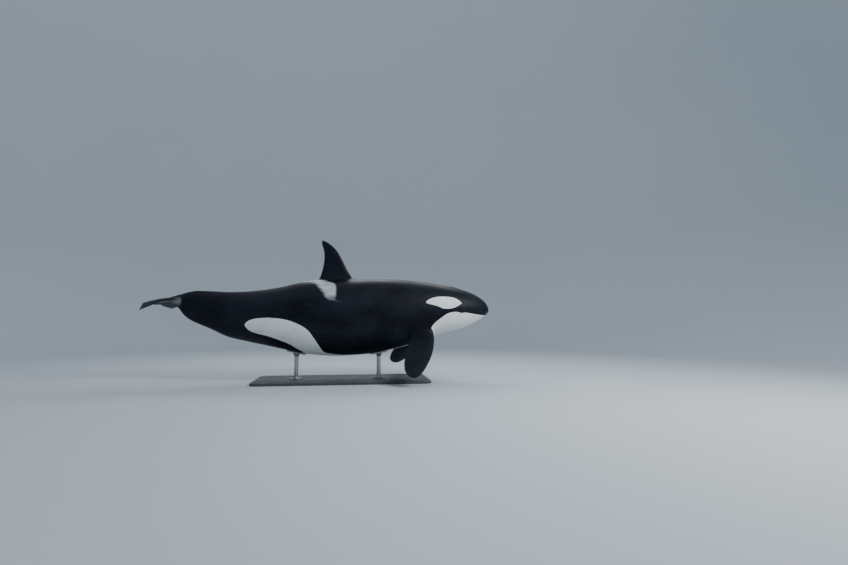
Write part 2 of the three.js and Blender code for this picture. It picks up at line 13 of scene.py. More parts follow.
import bpy
import numpy as np
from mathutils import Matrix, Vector

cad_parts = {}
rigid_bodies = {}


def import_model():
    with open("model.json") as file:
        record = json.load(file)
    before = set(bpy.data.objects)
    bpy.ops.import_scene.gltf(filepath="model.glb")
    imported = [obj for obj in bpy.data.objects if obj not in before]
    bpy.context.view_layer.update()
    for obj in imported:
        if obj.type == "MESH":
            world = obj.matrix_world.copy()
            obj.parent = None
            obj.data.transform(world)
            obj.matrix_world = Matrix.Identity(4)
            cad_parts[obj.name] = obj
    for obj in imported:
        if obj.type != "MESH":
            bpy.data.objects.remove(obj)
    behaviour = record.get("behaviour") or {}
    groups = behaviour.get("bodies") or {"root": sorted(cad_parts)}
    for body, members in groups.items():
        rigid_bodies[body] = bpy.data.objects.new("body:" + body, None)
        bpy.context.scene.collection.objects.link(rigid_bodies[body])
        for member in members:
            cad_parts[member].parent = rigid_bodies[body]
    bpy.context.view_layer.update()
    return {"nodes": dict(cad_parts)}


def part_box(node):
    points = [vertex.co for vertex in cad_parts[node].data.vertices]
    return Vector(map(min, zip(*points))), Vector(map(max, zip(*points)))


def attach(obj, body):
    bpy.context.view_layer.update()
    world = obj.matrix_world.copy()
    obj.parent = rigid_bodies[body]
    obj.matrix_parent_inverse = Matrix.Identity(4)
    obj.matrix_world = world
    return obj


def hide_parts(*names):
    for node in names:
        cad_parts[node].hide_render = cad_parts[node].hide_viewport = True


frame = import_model()

MM = 0.001
SNOUT_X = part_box("head")[1].x
LEVEL = 1.04


def x_of(s):
    return SNOUT_X - s * MM


def z_of(height):
    return LEVEL + height * MM


def s_of(points):
    return (SNOUT_X - points[:, 0]) / MM


def height_of(points):
    return (points[:, 2] - LEVEL) / MM


print("frame", len(frame["nodes"]), "nodes, snout at x =", round(SNOUT_X, 3))

# %% [markdown]
# ## The camera
# The photograph looks at the animal's right side from a little ahead of its middle, through a
# wide lens, turned a few degrees towards the head and tilted up a little. A wide lens is used
# here too, because it is what makes the near fin look large and the tail look far away.

# %% Camera
CAMERA_BEHIND_SNOUT = 2432
CAMERA_OUT = 9.05
CAMERA_TURN = 8.0
CAMERA_PITCH = 4.1
PHOTO_WIDTH = 848
FOCAL_PIXELS = 518

camera_data = bpy.data.cameras.new("camera")
camera_data.sensor_width = 36
camera_data.lens = camera_data.sensor_width * FOCAL_PIXELS / PHOTO_WIDTH
camera = bpy.data.objects.new("camera", camera_data)
camera.location = (x_of(CAMERA_BEHIND_SNOUT), -CAMERA_OUT, LEVEL)
camera.rotation_euler = (math.radians(90 + CAMERA_PITCH), 0, math.radians(-CAMERA_TURN))
bpy.context.scene.collection.objects.link(camera)
bpy.context.scene.camera = camera
print("camera lens", round(camera_data.lens, 1), "mm")

# %% [markdown]
# ## Small helpers
# Operators act on what is selected, so each step starts by selecting exactly what it needs.
# Points are read and written in one go as arrays, which keeps a mesh of many points quick.


# %% Helpers for selecting and for reading points
def deselect_all():
    if bpy.context.mode != "OBJECT":
        bpy.ops.object.mode_set(mode="OBJECT")
    bpy.ops.object.select_all(action="DESELECT")


def activate(piece):
    deselect_all()
    piece.select_set(True)
    bpy.context.view_layer.objects.active = piece


def join(piece, others):
    """Makes the others part of the piece."""
    activate(piece)
    for other in others:
        other.select_set(True)
    bpy.ops.object.join()
    return piece


def new_piece(name):
    """The primitive that was added last, under a name of its own."""
    piece = bpy.context.active_object
    piece.name = piece.data.name = name
    return piece


def edit(piece, mode="VERT", action="SELECT"):
    """Opens the piece in edit mode, with all of it selected or nothing."""
    activate(piece)
    bpy.ops.object.mode_set(mode="EDIT")
    bpy.ops.mesh.select_mode(type=mode)
    bpy.ops.mesh.select_all(action=action)


def done_editing():
    bpy.ops.object.mode_set(mode="OBJECT")


def turn_outwards():
    """Turns all faces of the piece in edit mode outwards, and leaves edit mode."""
    bpy.ops.mesh.select_all(action="SELECT")
    bpy.ops.mesh.normals_make_consistent(inside=False)
    done_editing()


def select_parts(piece, mode, parts, chosen):
    """Leaves the piece in edit mode with only the chosen faces or edges selected."""
    edit(piece, mode, "DESELECT")
    done_editing()
    parts.foreach_set("select", np.asarray(chosen, bool))
    bpy.ops.object.mode_set(mode="EDIT")


def select_faces(piece, chosen):
    select_parts(piece, "FACE", piece.data.polygons, chosen)


def read_rows(items, name):
    """Three numbers for each point or face, as one row each."""
    rows = np.empty(len(items) * 3, np.float32)
    items.foreach_get(name, rows)
    return rows.reshape(-1, 3).astype(float)


def read_points(piece):
    return read_rows(piece.data.vertices, "co")


def read_normals(piece):
    return read_rows(piece.data.vertices, "normal")


def face_centres(piece):
    return read_rows(piece.data.polygons, "center")


def write_points(piece, points):
    piece.data.vertices.foreach_set("co", np.asarray(points, np.float32).ravel())
    piece.data.update()


def store(piece, name, values):
    """Keeps one number for each point, which a material can read."""
    layer = piece.data.attributes.get(name)
    if layer is None:
        layer = piece.data.attributes.new(name, "FLOAT", "POINT")
    layer.data.foreach_set("value", np.asarray(values, np.float32))


def stored(piece, name):
    values = np.empty(len(piece.data.vertices), np.float32)
    piece.data.attributes[name].data.foreach_get("value", values)
    return values.astype(float)


def stored_on_faces(piece, name, pick):
    """One value for each face, picked from what its points have."""
    values = stored(piece, name)
    return np.array([pick(values[list(face.vertices)]) for face in piece.data.polygons])


def apply_modifier(piece, kind, **settings):
    activate(piece)
    modifier = piece.modifiers.new(kind.lower(), kind)
    for key, value in settings.items():
        setattr(modifier, key, value)
    bpy.ops.object.modifier_apply(modifier=modifier.name)


print("helpers ready")

# %% [markdown]
# ## Curves
# The profile of the body, the outline of each fin and the edge of each marking are smooth
# curves through a few chosen points. This kind of curve keeps to its points and never swings
# past them, so a flat stretch stays flat.


# %% Smooth curves
def bridge(t, start, leave, end, arrive):
    """From start to end as t goes from 0 to 1, setting off and arriving in given directions."""
    near = (1 + 2 * t) * (1 - t) ** 2 * start + t * (1 - t) ** 2 * leave
    far = t * t * (3 - 2 * t) * end + t * t * (t - 1) * arrive
    return near + far


def curve_through(pairs):
    """A function that gives y for any x, on a smooth curve through the pairs of x and y."""
    x, y = np.array(pairs, float).T
    step = np.diff(x)
    slope = np.diff(y) / step
    before, after = step[:-1], step[1:]
    with np.errstate(divide="ignore", invalid="ignore"):
        weight = (2 * after + before) / slope[:-1] + (after + 2 * before) / slope[1:]
        inner = np.where(slope[:-1] * slope[1:] > 0, 3 * (before + after) / weight, 0)
    tangent = np.concatenate([slope[:1], inner, slope[-1:]])

    def at(value):
        v = np.clip(value, x[0], x[-1])
        i = np.clip(np.searchsorted(x, v, side="right") - 1, 0, len(step) - 1)
        t = (v - x[i]) / step[i]
        return bridge(t, y[i], step[i] * tangent[i], y[i + 1], step[i] * tangent[i + 1])

    return at


def bell(distance, width):
    """1 at the middle, falling smoothly to nothing over about two widths."""
    return np.exp(-((np.asarray(distance, float) / width) ** 2))


def ramp(value, low, high):
    """0 up to low, 1 from high on, and a smooth rise between."""
    t = np.clip((np.asarray(value, float) - low) / (high - low), 0, 1)
    return t * t * (3 - 2 * t)


print("curves ready")

# %% [markdown]
# ## The body
# An orca's body is a spindle: a blunt rounded head, deepest under the dorsal fin, then a tail
# stock that becomes a tall narrow blade before the flukes. It could be pulled ring by ring out
# of a circle, but with this many rings it is quicker to add a flat grid, roll it up and give
# each ring the height, width and sharpness that the profile has there. The columns of the grid
# run round the body and its rows run from snout to tail.

# %% Profile of the body
STATIONS = (
    # s, back, belly, half width, height of the widest line, sharpness of the ridges
    (0, 150, 150, 0, 150, 0.50),
    (30, 262, 106, 112, 170, 0.50),
    (80, 327, 66, 166, 185, 0.50),
    (150, 384, 4, 212, 190, 0.50),
    (300, 466, -70, 280, 188, 0.50),
    (520, 543, -160, 338, 180, 0.50),
    (800, 607, -224, 390, 188, 0.49),
    (1200, 664, -364, 438, 160, 0.48),
    (1700, 702, -508, 476, 110, 0.47),
    (2250, 698, -598, 498, 60, 0.47),
    (2650, 687, -617, 500, 38, 0.48),
    (3150, 666, -582, 466, 30, 0.50),
    (3650, 546, -476, 394, 35, 0.54),
    (4120, 478, -370, 298, 50, 0.60),
    (4450, 463, -289, 224, 90, 0.66),
    (4780, 476, -135, 152, 178, 0.72),
    (4960, 480, -58, 118, 225, 0.74),
    (5080, 463, 3, 98, 256, 0.72),
    (5190, 430, 98, 84, 298, 0.68),
    (5260, 411, 196, 78, 316, 0.64),
    (5380, 372, 250, 76, 302, 0.58),
    (5560, 302, 246, 66, 270, 0.50),
    (5660, 262, 238, 44, 250, 0.50),
    (5688, 245, 245, 0, 245, 0.50),
)
NOTCH = 5689
SIDES = 72
RING_SPREAD = ((0, 0), (0.19, 700), (0.34, 1500), (0.8, 4800), (1, 5688))
RINGS = 190

roots = np.sqrt([station[0] for station in STATIONS])
back_at, belly_at, half_at, widest_at, sharp_at = (
    curve_through(list(zip(roots, [station[k] for station in STATIONS]))) for k in range(1, 6)
)
ring_root = curve_through([(t, math.sqrt(s)) for t, s in RING_SPREAD])


def section(s):
    q = np.sqrt(np.clip(s, 0, NOTCH - 1))
    return back_at(q), belly_at(q), half_at(q), widest_at(q), sharp_at(q)


def skin_point(s, angle):
    """A point of the skin in the frame: angle 0 is the back, and the left side comes first."""
    back, belly, half, widest, sharp = section(s)
    rise = np.cos(angle)
    reach = np.maximum(0, 1 - rise**2) ** sharp * half * np.sign(np.sin(angle))
    height = widest + rise * np.where(rise > 0, back - widest, widest - belly)
    return np.stack([x_of(s), reach * MM, z_of(height)], axis=-1)


def angle_at(s, height):
    """The angle from the back at which the skin has this height."""
    back, belly, _, widest, _ = section(s)
    span = np.where(height > widest, back - widest, widest - belly)
    return np.arccos(np.clip((height - widest) / np.maximum(span, 1), -1, 1))


def body_map(points):
    """s, height and angle from the back for each point, with a sign for the side it is on."""
    s, height, out = s_of(points), height_of(points), points[:, 1] / MM
    back, belly, half, widest, sharp = section(s)
    rise = (height - widest) / np.maximum(np.where(height > widest, back - widest, widest - belly), 1)
    reach = (np.abs(out) / np.maximum(half, 1)) ** (0.5 / sharp)
    return s, height, np.arctan2(reach, rise), np.where(out < 0, -1.0, 1.0)


print("deepest section", round(float(np.max(back_at(roots) - belly_at(roots)))), "mm")


# %% Rolling a grid into a form
def rolled_grid(name, around, along, place, fin_share):
    """A grid whose columns go round a form and whose rows go along it."""
    deselect_all()
    bpy.ops.mesh.primitive_grid_add(x_subdivisions=around, y_subdivisions=along, size=2)
    piece = new_piece(name)
    flat = read_points(piece)
    u, v = (flat[:, 0] + 1) / 2, (flat[:, 1] + 1) / 2
    write_points(piece, place(u, v))
    store(piece, "fin", fin_share(v))
    store(piece, "turn", np.minimum(u, 1 - u) * 2 * math.pi)
    edit(piece)
    bpy.ops.mesh.remove_doubles(threshold=0.00001)
    turn_outwards()
    return piece


def body_place(around, along):
    s = ring_root(along) ** 2
    return skin_point(s, around * 2 * math.pi)


skin = rolled_grid("orca_skin", SIDES, RINGS, body_place, lambda v: v * 0)
print("body", len(skin.data.polygons), "faces")

# %% [markdown]
# ## The fins
# A fin grows out of the flank with no seam: the skin sweeps up into it. So the faces where it
# stands are deleted, and a grid with one column for each edge of that hole's rim is rolled into
# the fin. Its first row lies on the rim and is welded to it, the next rows curve from the flank
# into the fin, and the rest follow the fin to its tip. A Boolean join would leave a hard crease
# with ragged triangles round the root, which shows on glossy skin.
# Each fin has the section of a wing: round in front, thickest at a third, thin behind.

# %% Holes in the skin
ROOT_ROWS = 7


def select_open_rims():
    bpy.ops.mesh.select_mode(type="EDGE")
    bpy.ops.mesh.select_all(action="DESELECT")
    bpy.ops.mesh.select_non_manifold(
        extend=False, use_wire=False, use_multi_face=False, use_non_contiguous=False, use_verts=False
    )


def cut_hole(piece, chosen):
    """Deletes the chosen faces and returns the points of the rim, one after the other."""
    select_faces(piece, chosen)
    bpy.ops.mesh.delete(type="FACE")
    select_open_rims()
    done_editing()
    neighbours = {}
    edges = [edge.vertices[:] for edge in piece.data.edges if edge.select]
    for a, b in edges:
        neighbours.setdefault(a, []).append(b)
        neighbours.setdefault(b, []).append(a)
    loop = list(edges[0])
    while len(loop) < len(edges):
        a, b = neighbours[loop[-1]]
        loop.append(b if a == loop[-2] else a)
    return np.array(loop)


def share_of_length(points):
    """How far along a row of points each one lies, from 0 to 1."""
    steps = np.linalg.norm(np.diff(points, axis=0), axis=1)
    along = np.concatenate([[0], np.cumsum(steps)])
    return along / along[-1]


def turns_of(points, ring_at):
    """Orders the rim from the fin's front edge round, and gives each point's place on the wing."""
    front, rear = ring_at(np.array([0.0])), ring_at(np.array([math.pi]))
    order = np.roll(np.arange(len(points)), -np.argmin(np.linalg.norm(points - front, axis=1)))
    side = ring_at(np.array([math.pi / 2]))
    quarter = len(order) // 4
    apart = np.linalg.norm(points[order] - side, axis=1)
    if apart[quarter] > apart[-quarter]:
        order = np.roll(order[::-1], 1)
    last = np.argmin(np.linalg.norm(points[order] - rear, axis=1))
    closed = points[np.append(order, order[0])]
    there = share_of_length(closed[: last + 1]) * math.pi
    back = math.pi + share_of_length(closed[last:]) * math.pi
    return order, np.concatenate([there, back[1:-1]])


print("hole helpers ready")


# %% The wing of a fin and its sweep out of the flank
CLIMB_STEP = 0.02
TIP_CROWDING = 1.8


def foil(chord):
    """Half the thickness of a wing one thick, from front to rear, with its most at a third."""
    c = np.clip(chord, 0, 1)
    return 1.4845 * np.sqrt(c) - 0.63 * c - 1.758 * c**2 + 1.4215 * c**3 - 0.508 * c**4


def wing_of(place, thickness, normal):
    """The surface of a fin: a turn goes round its section, and height goes out to its tip."""

    def wing(turn, height):
        chord = (1 - np.cos(turn)) / 2
        half = foil(chord) * thickness(height) * np.sign(np.sin(turn)) * (np.abs(np.sin(turn)) > 1e-6)
        return place(chord, height) + (half * MM)[:, None] * np.array(normal)

    return wing


def lengths(rows):
    return np.linalg.norm(rows, axis=1)[:, None]


def sweep_of(gap, outward, climb, turn, rear_grip):
    """How the skin sets off along the flank and how it arrives on the fin, at each rim point."""
    leave = gap - outward * np.sum(gap * outward, axis=1)[:, None]
    leave /= np.maximum(lengths(leave), 1e-6)
    leave *= lengths(gap) * (1 + (rear_grip - 1) * (1 - np.cos(turn)) / 2)[:, None]
    return leave, climb / lengths(climb) * lengths(gap)


def weld_to_skin(fin):
    """Joins the fin to the skin and merges its first row with the rim of the hole."""
    join(skin, [fin])
    bpy.ops.object.mode_set(mode="EDIT")
    select_open_rims()
    bpy.ops.mesh.remove_doubles(threshold=0.0005)
    turn_outwards()


print("wing helpers ready")


# %% Growing a fin from the rim of a hole
def grow_fin(name, chosen, first, rows, wing, rear_grip=1.0):
    """A fin on the hole of the chosen faces, free of the body from the share `first` of its height.

    rear_grip says how far the skin behind keeps to the flank before it turns up into the fin."""
    rim = cut_hole(skin, chosen)
    points, outward = read_points(skin)[rim], read_normals(skin)[rim]
    order, turn = turns_of(points, lambda t: wing(t, np.full(len(t), first)))
    points, outward = points[order], outward[order]
    root = wing(turn, np.full(len(turn), first))
    climb = wing(turn, np.full(len(turn), first + CLIMB_STEP)) - root
    leave, arrive = sweep_of(root - points, outward, climb, turn, rear_grip)
    total = ROOT_ROWS + rows

    def fin_place(u, v):
        column = np.round(u * len(rim)).astype(int) % len(rim)
        row = np.round(v * total).astype(int)
        t = np.clip(row / ROOT_ROWS, 0, 1)[:, None]
        swept = bridge(t, points[column], leave[column], root[column], arrive[column])
        share = np.clip((row - ROOT_ROWS) / rows, 0, 1)
        height = first + (1 - first) * (1 - (1 - share) ** TIP_CROWDING)
        chord_turn = np.where(row == total, math.pi / 2, turn[column])
        return np.where(row[:, None] <= ROOT_ROWS, swept, wing(chord_turn, height))

    fin = rolled_grid(name, len(rim), total, fin_place, lambda v: ramp(v * total / ROOT_ROWS, 0, 1))
    weld_to_skin(fin)
    return len(rim)


print("fins ready to grow")

# %% [markdown]
# ### Dorsal fin
# A female's or young male's dorsal fin is low and hooked: the front edge leans back in one
# long curve, and the rear edge is hollow. It stands on the ridge of the back.

# %% Dorsal fin
DORSAL_FOOT, DORSAL_TIP = 610, 1368
DORSAL_FRONT = (
    (610, 2330), (718, 2418), (855, 2504), (1027, 2589),
    (1198, 2691), (1290, 2785), (1345, 2868), (1368, 2928),
)
DORSAL_BACK = (
    (610, 3110), (690, 3022), (729, 2972), (850, 2929), (987, 2903),
    (1108, 2897), (1210, 2912), (1330, 2944), (1368, 2938),
)
DORSAL_HOLE = {"front": 2320, "rear": 3110, "to": 0.26}
DORSAL_FIRST, DORSAL_ROWS = 0.2, 16
DORSAL_THICK = (84, 14)

dorsal_front = curve_through(DORSAL_FRONT)
dorsal_back = curve_through(DORSAL_BACK)


def dorsal_place(chord, h):
    height = DORSAL_FOOT + h * (DORSAL_TIP - DORSAL_FOOT)
    s = dorsal_front(height) + (dorsal_back(height) - dorsal_front(height)) * chord
    return np.stack([x_of(s), np.zeros_like(s), z_of(height)], axis=-1)


def thinning(thick):
    """The thickness of a fin by its height: less and less from root to tip, and rounded off."""
    return lambda h: (thick[0] + (thick[1] - thick[0]) * h) * np.sqrt(np.maximum(0, 1 - h**6))


s, _, angle, _ = body_map(face_centres(skin))
on_ridge = (angle < DORSAL_HOLE["to"]) & (s > DORSAL_HOLE["front"]) & (s < DORSAL_HOLE["rear"])
dorsal_wing = wing_of(dorsal_place, thinning(DORSAL_THICK), (0, 1, 0))
rim = grow_fin("dorsal", on_ridge, DORSAL_FIRST, DORSAL_ROWS, dorsal_wing)
print("dorsal fin on a rim of", rim, "edges")

# %% [markdown]
# ### Pectoral fins
# The pectoral fins are round paddles, about a metre long on this animal. They leave the flank
# low behind the throat and hang out, down and a little back. The near one hangs steeper than
# the far one, as the animal steers with them.

# %% Pectoral fins
PECTORAL_ROOT = (1240, 250, -170)
PECTORAL_TIPS = {-1: (1482, 1150, -886), 1: (1578, 1150, -838)}
PECTORAL_THICK = (84, 18)
PECTORAL_FIRST, PECTORAL_ROWS = 0.15, 18
PECTORAL_FRONT = (
    (0, 222), (0.25, 252), (0.5, 234), (0.7, 190), (0.86, 134), (0.95, 83), (0.985, 47), (0.997, 20), (1, 0),
)
PECTORAL_BACK = (
    (0, 160), (0.25, 168), (0.5, 186), (0.7, 188), (0.86, 160), (0.95, 109), (0.985, 63), (0.997, 27), (1, 0),
)
PECTORAL_HOLE = {"front": 1030, "rear": 1480, "from": 2.11, "to": 2.62}

paddle_front = curve_through(PECTORAL_FRONT)
paddle_back = curve_through(PECTORAL_BACK)


def frame_point(s, out, height):
    return np.array([x_of(s), out * MM, z_of(height)])


def grow_pectoral(side):
    root_s, root_out, root_height = PECTORAL_ROOT
    tip_s, tip_out, tip_height = PECTORAL_TIPS[side]
    start = frame_point(root_s, side * root_out, root_height)
    span = frame_point(tip_s, side * tip_out, tip_height) - start
    reach = np.linalg.norm(span)
    span = span / reach
    rearward = np.array([-1.0, 0, 0])
    rearward = rearward - span * rearward.dot(span)
    rearward = rearward / np.linalg.norm(rearward)
    normal = np.cross(span, rearward)

    def place(chord, h):
        back = -paddle_front(h) + (paddle_back(h) + paddle_front(h)) * chord
        return start + np.outer(h * reach, span) + np.outer(back * MM, rearward)

    s, _, angle, side_of = body_map(face_centres(skin))
    chosen = (side_of == side) & (s > PECTORAL_HOLE["front"]) & (s < PECTORAL_HOLE["rear"])
    chosen &= (angle > PECTORAL_HOLE["from"]) & (angle < PECTORAL_HOLE["to"])
    wing = wing_of(place, thinning(PECTORAL_THICK), normal)
    return grow_fin("pectoral", chosen, PECTORAL_FIRST, PECTORAL_ROWS, wing)


for side in (1, -1):
    print("pectoral fin on a rim of", grow_pectoral(side), "edges")

# %% [markdown]
# ### Flukes
# The flukes are two flat wings at the end of the tail stock, with a notch between them. Their
# front edges sweep back. Both bow up by the root, the near tip curls down, and the far fluke
# droops from a third of its span, as the tail is in the middle of a stroke.

# %% Flukes
FLUKE_SPAN = 720
FLUKE_THICK = (84, 12)
FLUKE_ROOT_S, FLUKE_ROOT_HEIGHT, FLUKE_PITCH = 5150, 330, 0.16
FLUKE_TWIST = {-1: 0.0, 1: 1.4}
FLUKE_FIRST, FLUKE_ROWS = 0.17, 16
FLUKE_REAR_GRIP = 0.05
FLUKE_FRONT = (
    (0, 5150), (80, 5190), (250, 5272), (430, 5392), (600, 5514), (690, 5572), (720, 5592),
)
FLUKE_BACK = (
    (0, 5700), (55, 5716), (105, 5736), (150, 5741), (210, 5730), (290, 5704), (400, 5666), (560, 5630),
    (680, 5606), (720, 5599),
)
FLUKE_DROOP = {
    -1: ((0, 0), (130, -28), (260, -36), (400, -9), (500, 28), (600, 68), (720, 114)),
    1: ((0, 0), (120, -28), (240, -24), (330, 22), (460, 90), (720, 166)),
}
FLUKE_HOLE = {"front": 5170, "rear": 5668, "from": 0.87, "to": 2.27}

fluke_front = curve_through(FLUKE_FRONT)
fluke_back = curve_through(FLUKE_BACK)


def grow_fluke(side):
    droop = curve_through(FLUKE_DROOP[side])

    def place(chord, h):
        out = h * FLUKE_SPAN
        s = fluke_front(out) + (fluke_back(out) - fluke_front(out)) * chord
        pitch = FLUKE_PITCH * (1 - FLUKE_TWIST[side] * h)
        height = FLUKE_ROOT_HEIGHT - pitch * (s - FLUKE_ROOT_S) - droop(out)
        return np.stack([x_of(s), side * out * MM, z_of(height)], axis=-1)

    s, _, _, side_of = body_map(face_centres(skin))
    turn = stored_on_faces(skin, "turn", np.mean)
    chosen = (side_of == side) & (s > FLUKE_HOLE["front"]) & (s < FLUKE_HOLE["rear"])
    chosen &= (turn > FLUKE_HOLE["from"]) & (turn < FLUKE_HOLE["to"])
    chosen &= stored_on_faces(skin, "fin", np.max) == 0
    wing = wing_of(place, thinning(FLUKE_THICK), (0, 0, 1))
    return grow_fin("fluke", chosen, FLUKE_FIRST, FLUKE_ROWS, wing, FLUKE_REAR_GRIP)


for side in (1, -1):
    print("fluke on a rim of", grow_fluke(side), "edges")

# %% [markdown]
# ## Soft roots and one level of subdivision
# Flesh has no crease where a fin begins, so the faces round each root are relaxed a few times
# with Smooth Vertices. Subdivision Surface then rounds the facets everywhere. One level is
# enough at this size, and the fine folds get more faces of their own below.

# %% Relaxing the roots
TAIL_END = 5300

at_root = (stored_on_faces(skin, "fin", np.max) > 0) & (stored_on_faces(skin, "fin", np.min) < 1)
at_tail_end = at_root & (s_of(face_centres(skin)) > TAIL_END)
for chosen, wider, times in ((at_root, 2, 6), (at_tail_end, 3, 12)):
    select_faces(skin, chosen)
    for _ in range(wider):
        bpy.ops.mesh.select_more()
    bpy.ops.mesh.vertices_smooth(factor=0.5, repeat=times)
    done_editing()
    print("relaxed round", int(chosen.sum()), "faces")

# %% Subdivision
apply_modifier(skin, "SUBSURF", levels=1, render_levels=1)
print("skin", len(skin.data.polygons), "faces")

# %% [markdown]
# ## Reading the skin as a map
# Lips, lids and markings are laid out on the skin as on a map: s runs along the animal, and the
# angle from the back runs round it. Each marking is a closed smooth outline on that map. What a
# point of the skin keeps is how many millimetres inside the outline it lies, because such a
# distance stays exact between two points, so the material can draw a clean edge anywhere.

# %% Places on the map of the skin
MAP_RADIUS = 430
FAR = 150


def closed_curve(points, steps=6):
    """A smooth closed outline through the points."""
    here = np.array(points, float)
    back, ahead, last = np.roll(here, 1, 0), np.roll(here, -1, 0), np.roll(here, -2, 0)
    t = (np.arange(steps) / steps)[:, None, None]
    bend = 2 * back - 5 * here + 4 * ahead - last
    swing = 3 * here - back - 3 * ahead + last
    curve = here + 0.5 * ((ahead - back) * t + bend * t**2 + swing * t**3)
    return curve.transpose(1, 0, 2).reshape(-1, 2)


def inside_by(places, outline):
    """How far inside the outline each place lies, in millimetres, and less than 0 outside."""
    low, high = outline.min(axis=0) - FAR, outline.max(axis=0) + FAR
    close = np.all((places > low) & (places < high), axis=1)
    x, y = places[close].T
    nearest = np.full(len(x), float(FAR) ** 2)
    within = np.zeros(len(x), bool)
    for (ax, ay), (bx, by) in zip(outline, np.roll(outline, -1, axis=0)):
        dx, dy = bx - ax, by - ay
        t = np.clip(((x - ax) * dx + (y - ay) * dy) / (dx * dx + dy * dy + 1e-9), 0, 1)
        nearest = np.minimum(nearest, (x - ax - t * dx) ** 2 + (y - ay - t * dy) ** 2)
        if ay != by:
            within ^= ((ay > y) != (by > y)) & (x < dx * (y - ay) / dy + ax)
    result = np.full(len(places), -float(FAR))
    result[close] = np.sqrt(nearest) * np.where(within, 1, -1)
    return result


def on_side(pairs):
    """Places given as s and height, as s and millimetres round from the back."""
    s, height = np.array(pairs, float).T
    return np.stack([s, angle_at(s, height) * MAP_RADIUS], axis=1)


def join_smoothly(a, b, softness):
    """The larger of two distances, with the corner between them rounded."""
    return (a + b + np.sqrt((a - b) ** 2 + softness**2)) / 2


print("map helpers ready")

# %% [markdown]
# ## More faces where the folds are
# The seam of the lips, the lids, the blowhole and the slit of the belly are only millimetres
# wide. Only the faces around them are subdivided, each time with smoothness 1, which keeps
# the new points on the curve of the skin.

# %% Refining round the mouth, the eyes, the blowhole and the belly
MOUTH_LINE = ((-40, 62), (75, 72), (240, 86), (412, 113), (490, 122), (575, 108))
MOUTH_CORNER = 575
EYE_S, EYE_HEIGHT = 508, 186
BLOWHOLE_S = 640
SLIT = (3520, 3740)
PAST_CORNER = 60
WIDER = {"eye": 3.3, "blowhole": 2.4, "slit": 0.7}
MIDDLE_OF_BELLY = 2.5

mouth_height = curve_through(MOUTH_LINE)
eye_spot = skin_point(np.array([EYE_S]), angle_at(EYE_S, EYE_HEIGHT))[0]


def mouth_distance(points, normals):
    """Millimetres above the line of the mouth, measured along the skin."""
    slope = np.sqrt(np.maximum(1 - normals[:, 2] ** 2, 0.15))
    return (height_of(points) - mouth_height(s_of(points))) / slope


def eye_distance(points):
    mirrored = points * [1, 0, 1] + np.abs(points) * [0, 1, 0]
    return np.linalg.norm(mirrored - eye_spot, axis=1) / MM


def refine(reach):
    """Splits each face near a fold in four. reach is in millimetres."""
    centre, normals = face_centres(skin), read_rows(skin.data.polygons, "normal")
    s, _, angle, _ = body_map(centre)
    chosen = (np.abs(mouth_distance(centre, normals)) < reach) & (s < MOUTH_CORNER + PAST_CORNER)
    chosen |= eye_distance(centre) < WIDER["eye"] * reach
    from_blowhole = np.linalg.norm(centre - skin_point(BLOWHOLE_S, 0), axis=1) / MM
    chosen |= from_blowhole < WIDER["blowhole"] * reach
    on_belly = (np.abs(centre[:, 1]) / MM < WIDER["slit"] * reach) & (angle > MIDDLE_OF_BELLY)
    chosen |= on_belly & (s > SLIT[0] - reach) & (s < SLIT[1] + reach)
    select_faces(skin, chosen)
    bpy.ops.mesh.subdivide(number_cuts=1, smoothness=1)
    done_editing()
    return int(chosen.sum())


for reach in (34, 24):
    print("split", refine(reach), "faces")
print("skin", len(skin.data.polygons), "faces")

# %% [markdown]
# ## Lips, lids, blowhole and belly
# All these folds are small moves of the skin along its own normals. The mouth is a narrow
# groove between two full lips and fades behind the corner. The eye lies in an almond opening
# between two lids on a low swelling. The blowhole is a closed crescent whose horns point ahead.
# Each fold is written down first, as millimetres in or out, and all are applied together. A
# ridge or a groove is given by three numbers: its rise, its width and how far it lies from the
# line that it follows. The dark of each seam is kept too, for the material.

# %% Lips
LIP_RIDGES = ((4.5, 15, 20), (4.5, 15, -20))
MOUTH_SEAM, MOUTH_SHADE = (-8, 3.6, 0), 4.2
MOUTH_FADE = (MOUTH_CORNER - 12, MOUTH_CORNER + 34)


def fold(distance, rise, width, at):
    return rise * bell(distance - at, width)


points, normals = read_points(skin), read_normals(skin)
s, _, angle, _ = body_map(points)
across = points[:, 1] / MM
above = mouth_distance(points, normals)
along_mouth = 1 - ramp(s, *MOUTH_FADE)
moves = along_mouth * sum(fold(above, *ridge) for ridge in (*LIP_RIDGES, MOUTH_SEAM))
seam = along_mouth * bell(above, MOUTH_SHADE)
print("lips rise", round(float(moves.max()), 1), "mm")

# %% Lids
EYE_HALF, EYE_OPEN, EYE_DEPTH, EYE_SHADE = 29, 15, 15, 4
EYE_MAP_RADIUS = 370
EYE_REACH, EYE_FADE = 140, 60
EYE_SWELLING, LID_RIDGE, LID_FURROW = (7, 62, 0), (4, 6, 5), (-2.5, 5, 16)
LID_EDGE = (-1.5, 4)

from_eye = eye_distance(points)
near_eye = ramp(EYE_REACH - from_eye, 0, EYE_FADE)
along_eye = s - EYE_S
up_eye = (angle_at(EYE_S, EYE_HEIGHT) - angle) * EYE_MAP_RADIUS
half_open = EYE_OPEN * np.maximum(1 - (along_eye / EYE_HALF) ** 2, 0)
past_lid = np.abs(up_eye) - half_open
past_corner = np.maximum(np.abs(along_eye) - EYE_HALF, 0)
lid = np.hypot(np.maximum(past_lid, 0), past_corner)
opening = np.where(half_open > 0, ramp(-past_lid, *LID_EDGE), 0)
moves += near_eye * (fold(from_eye, *EYE_SWELLING) + fold(lid, *LID_RIDGE) + fold(lid, *LID_FURROW))
moves -= near_eye * EYE_DEPTH * opening
seam = np.maximum(seam, near_eye * bell(lid, EYE_SHADE) * (1 - opening))
print("eyes open", 2 * EYE_OPEN, "mm")

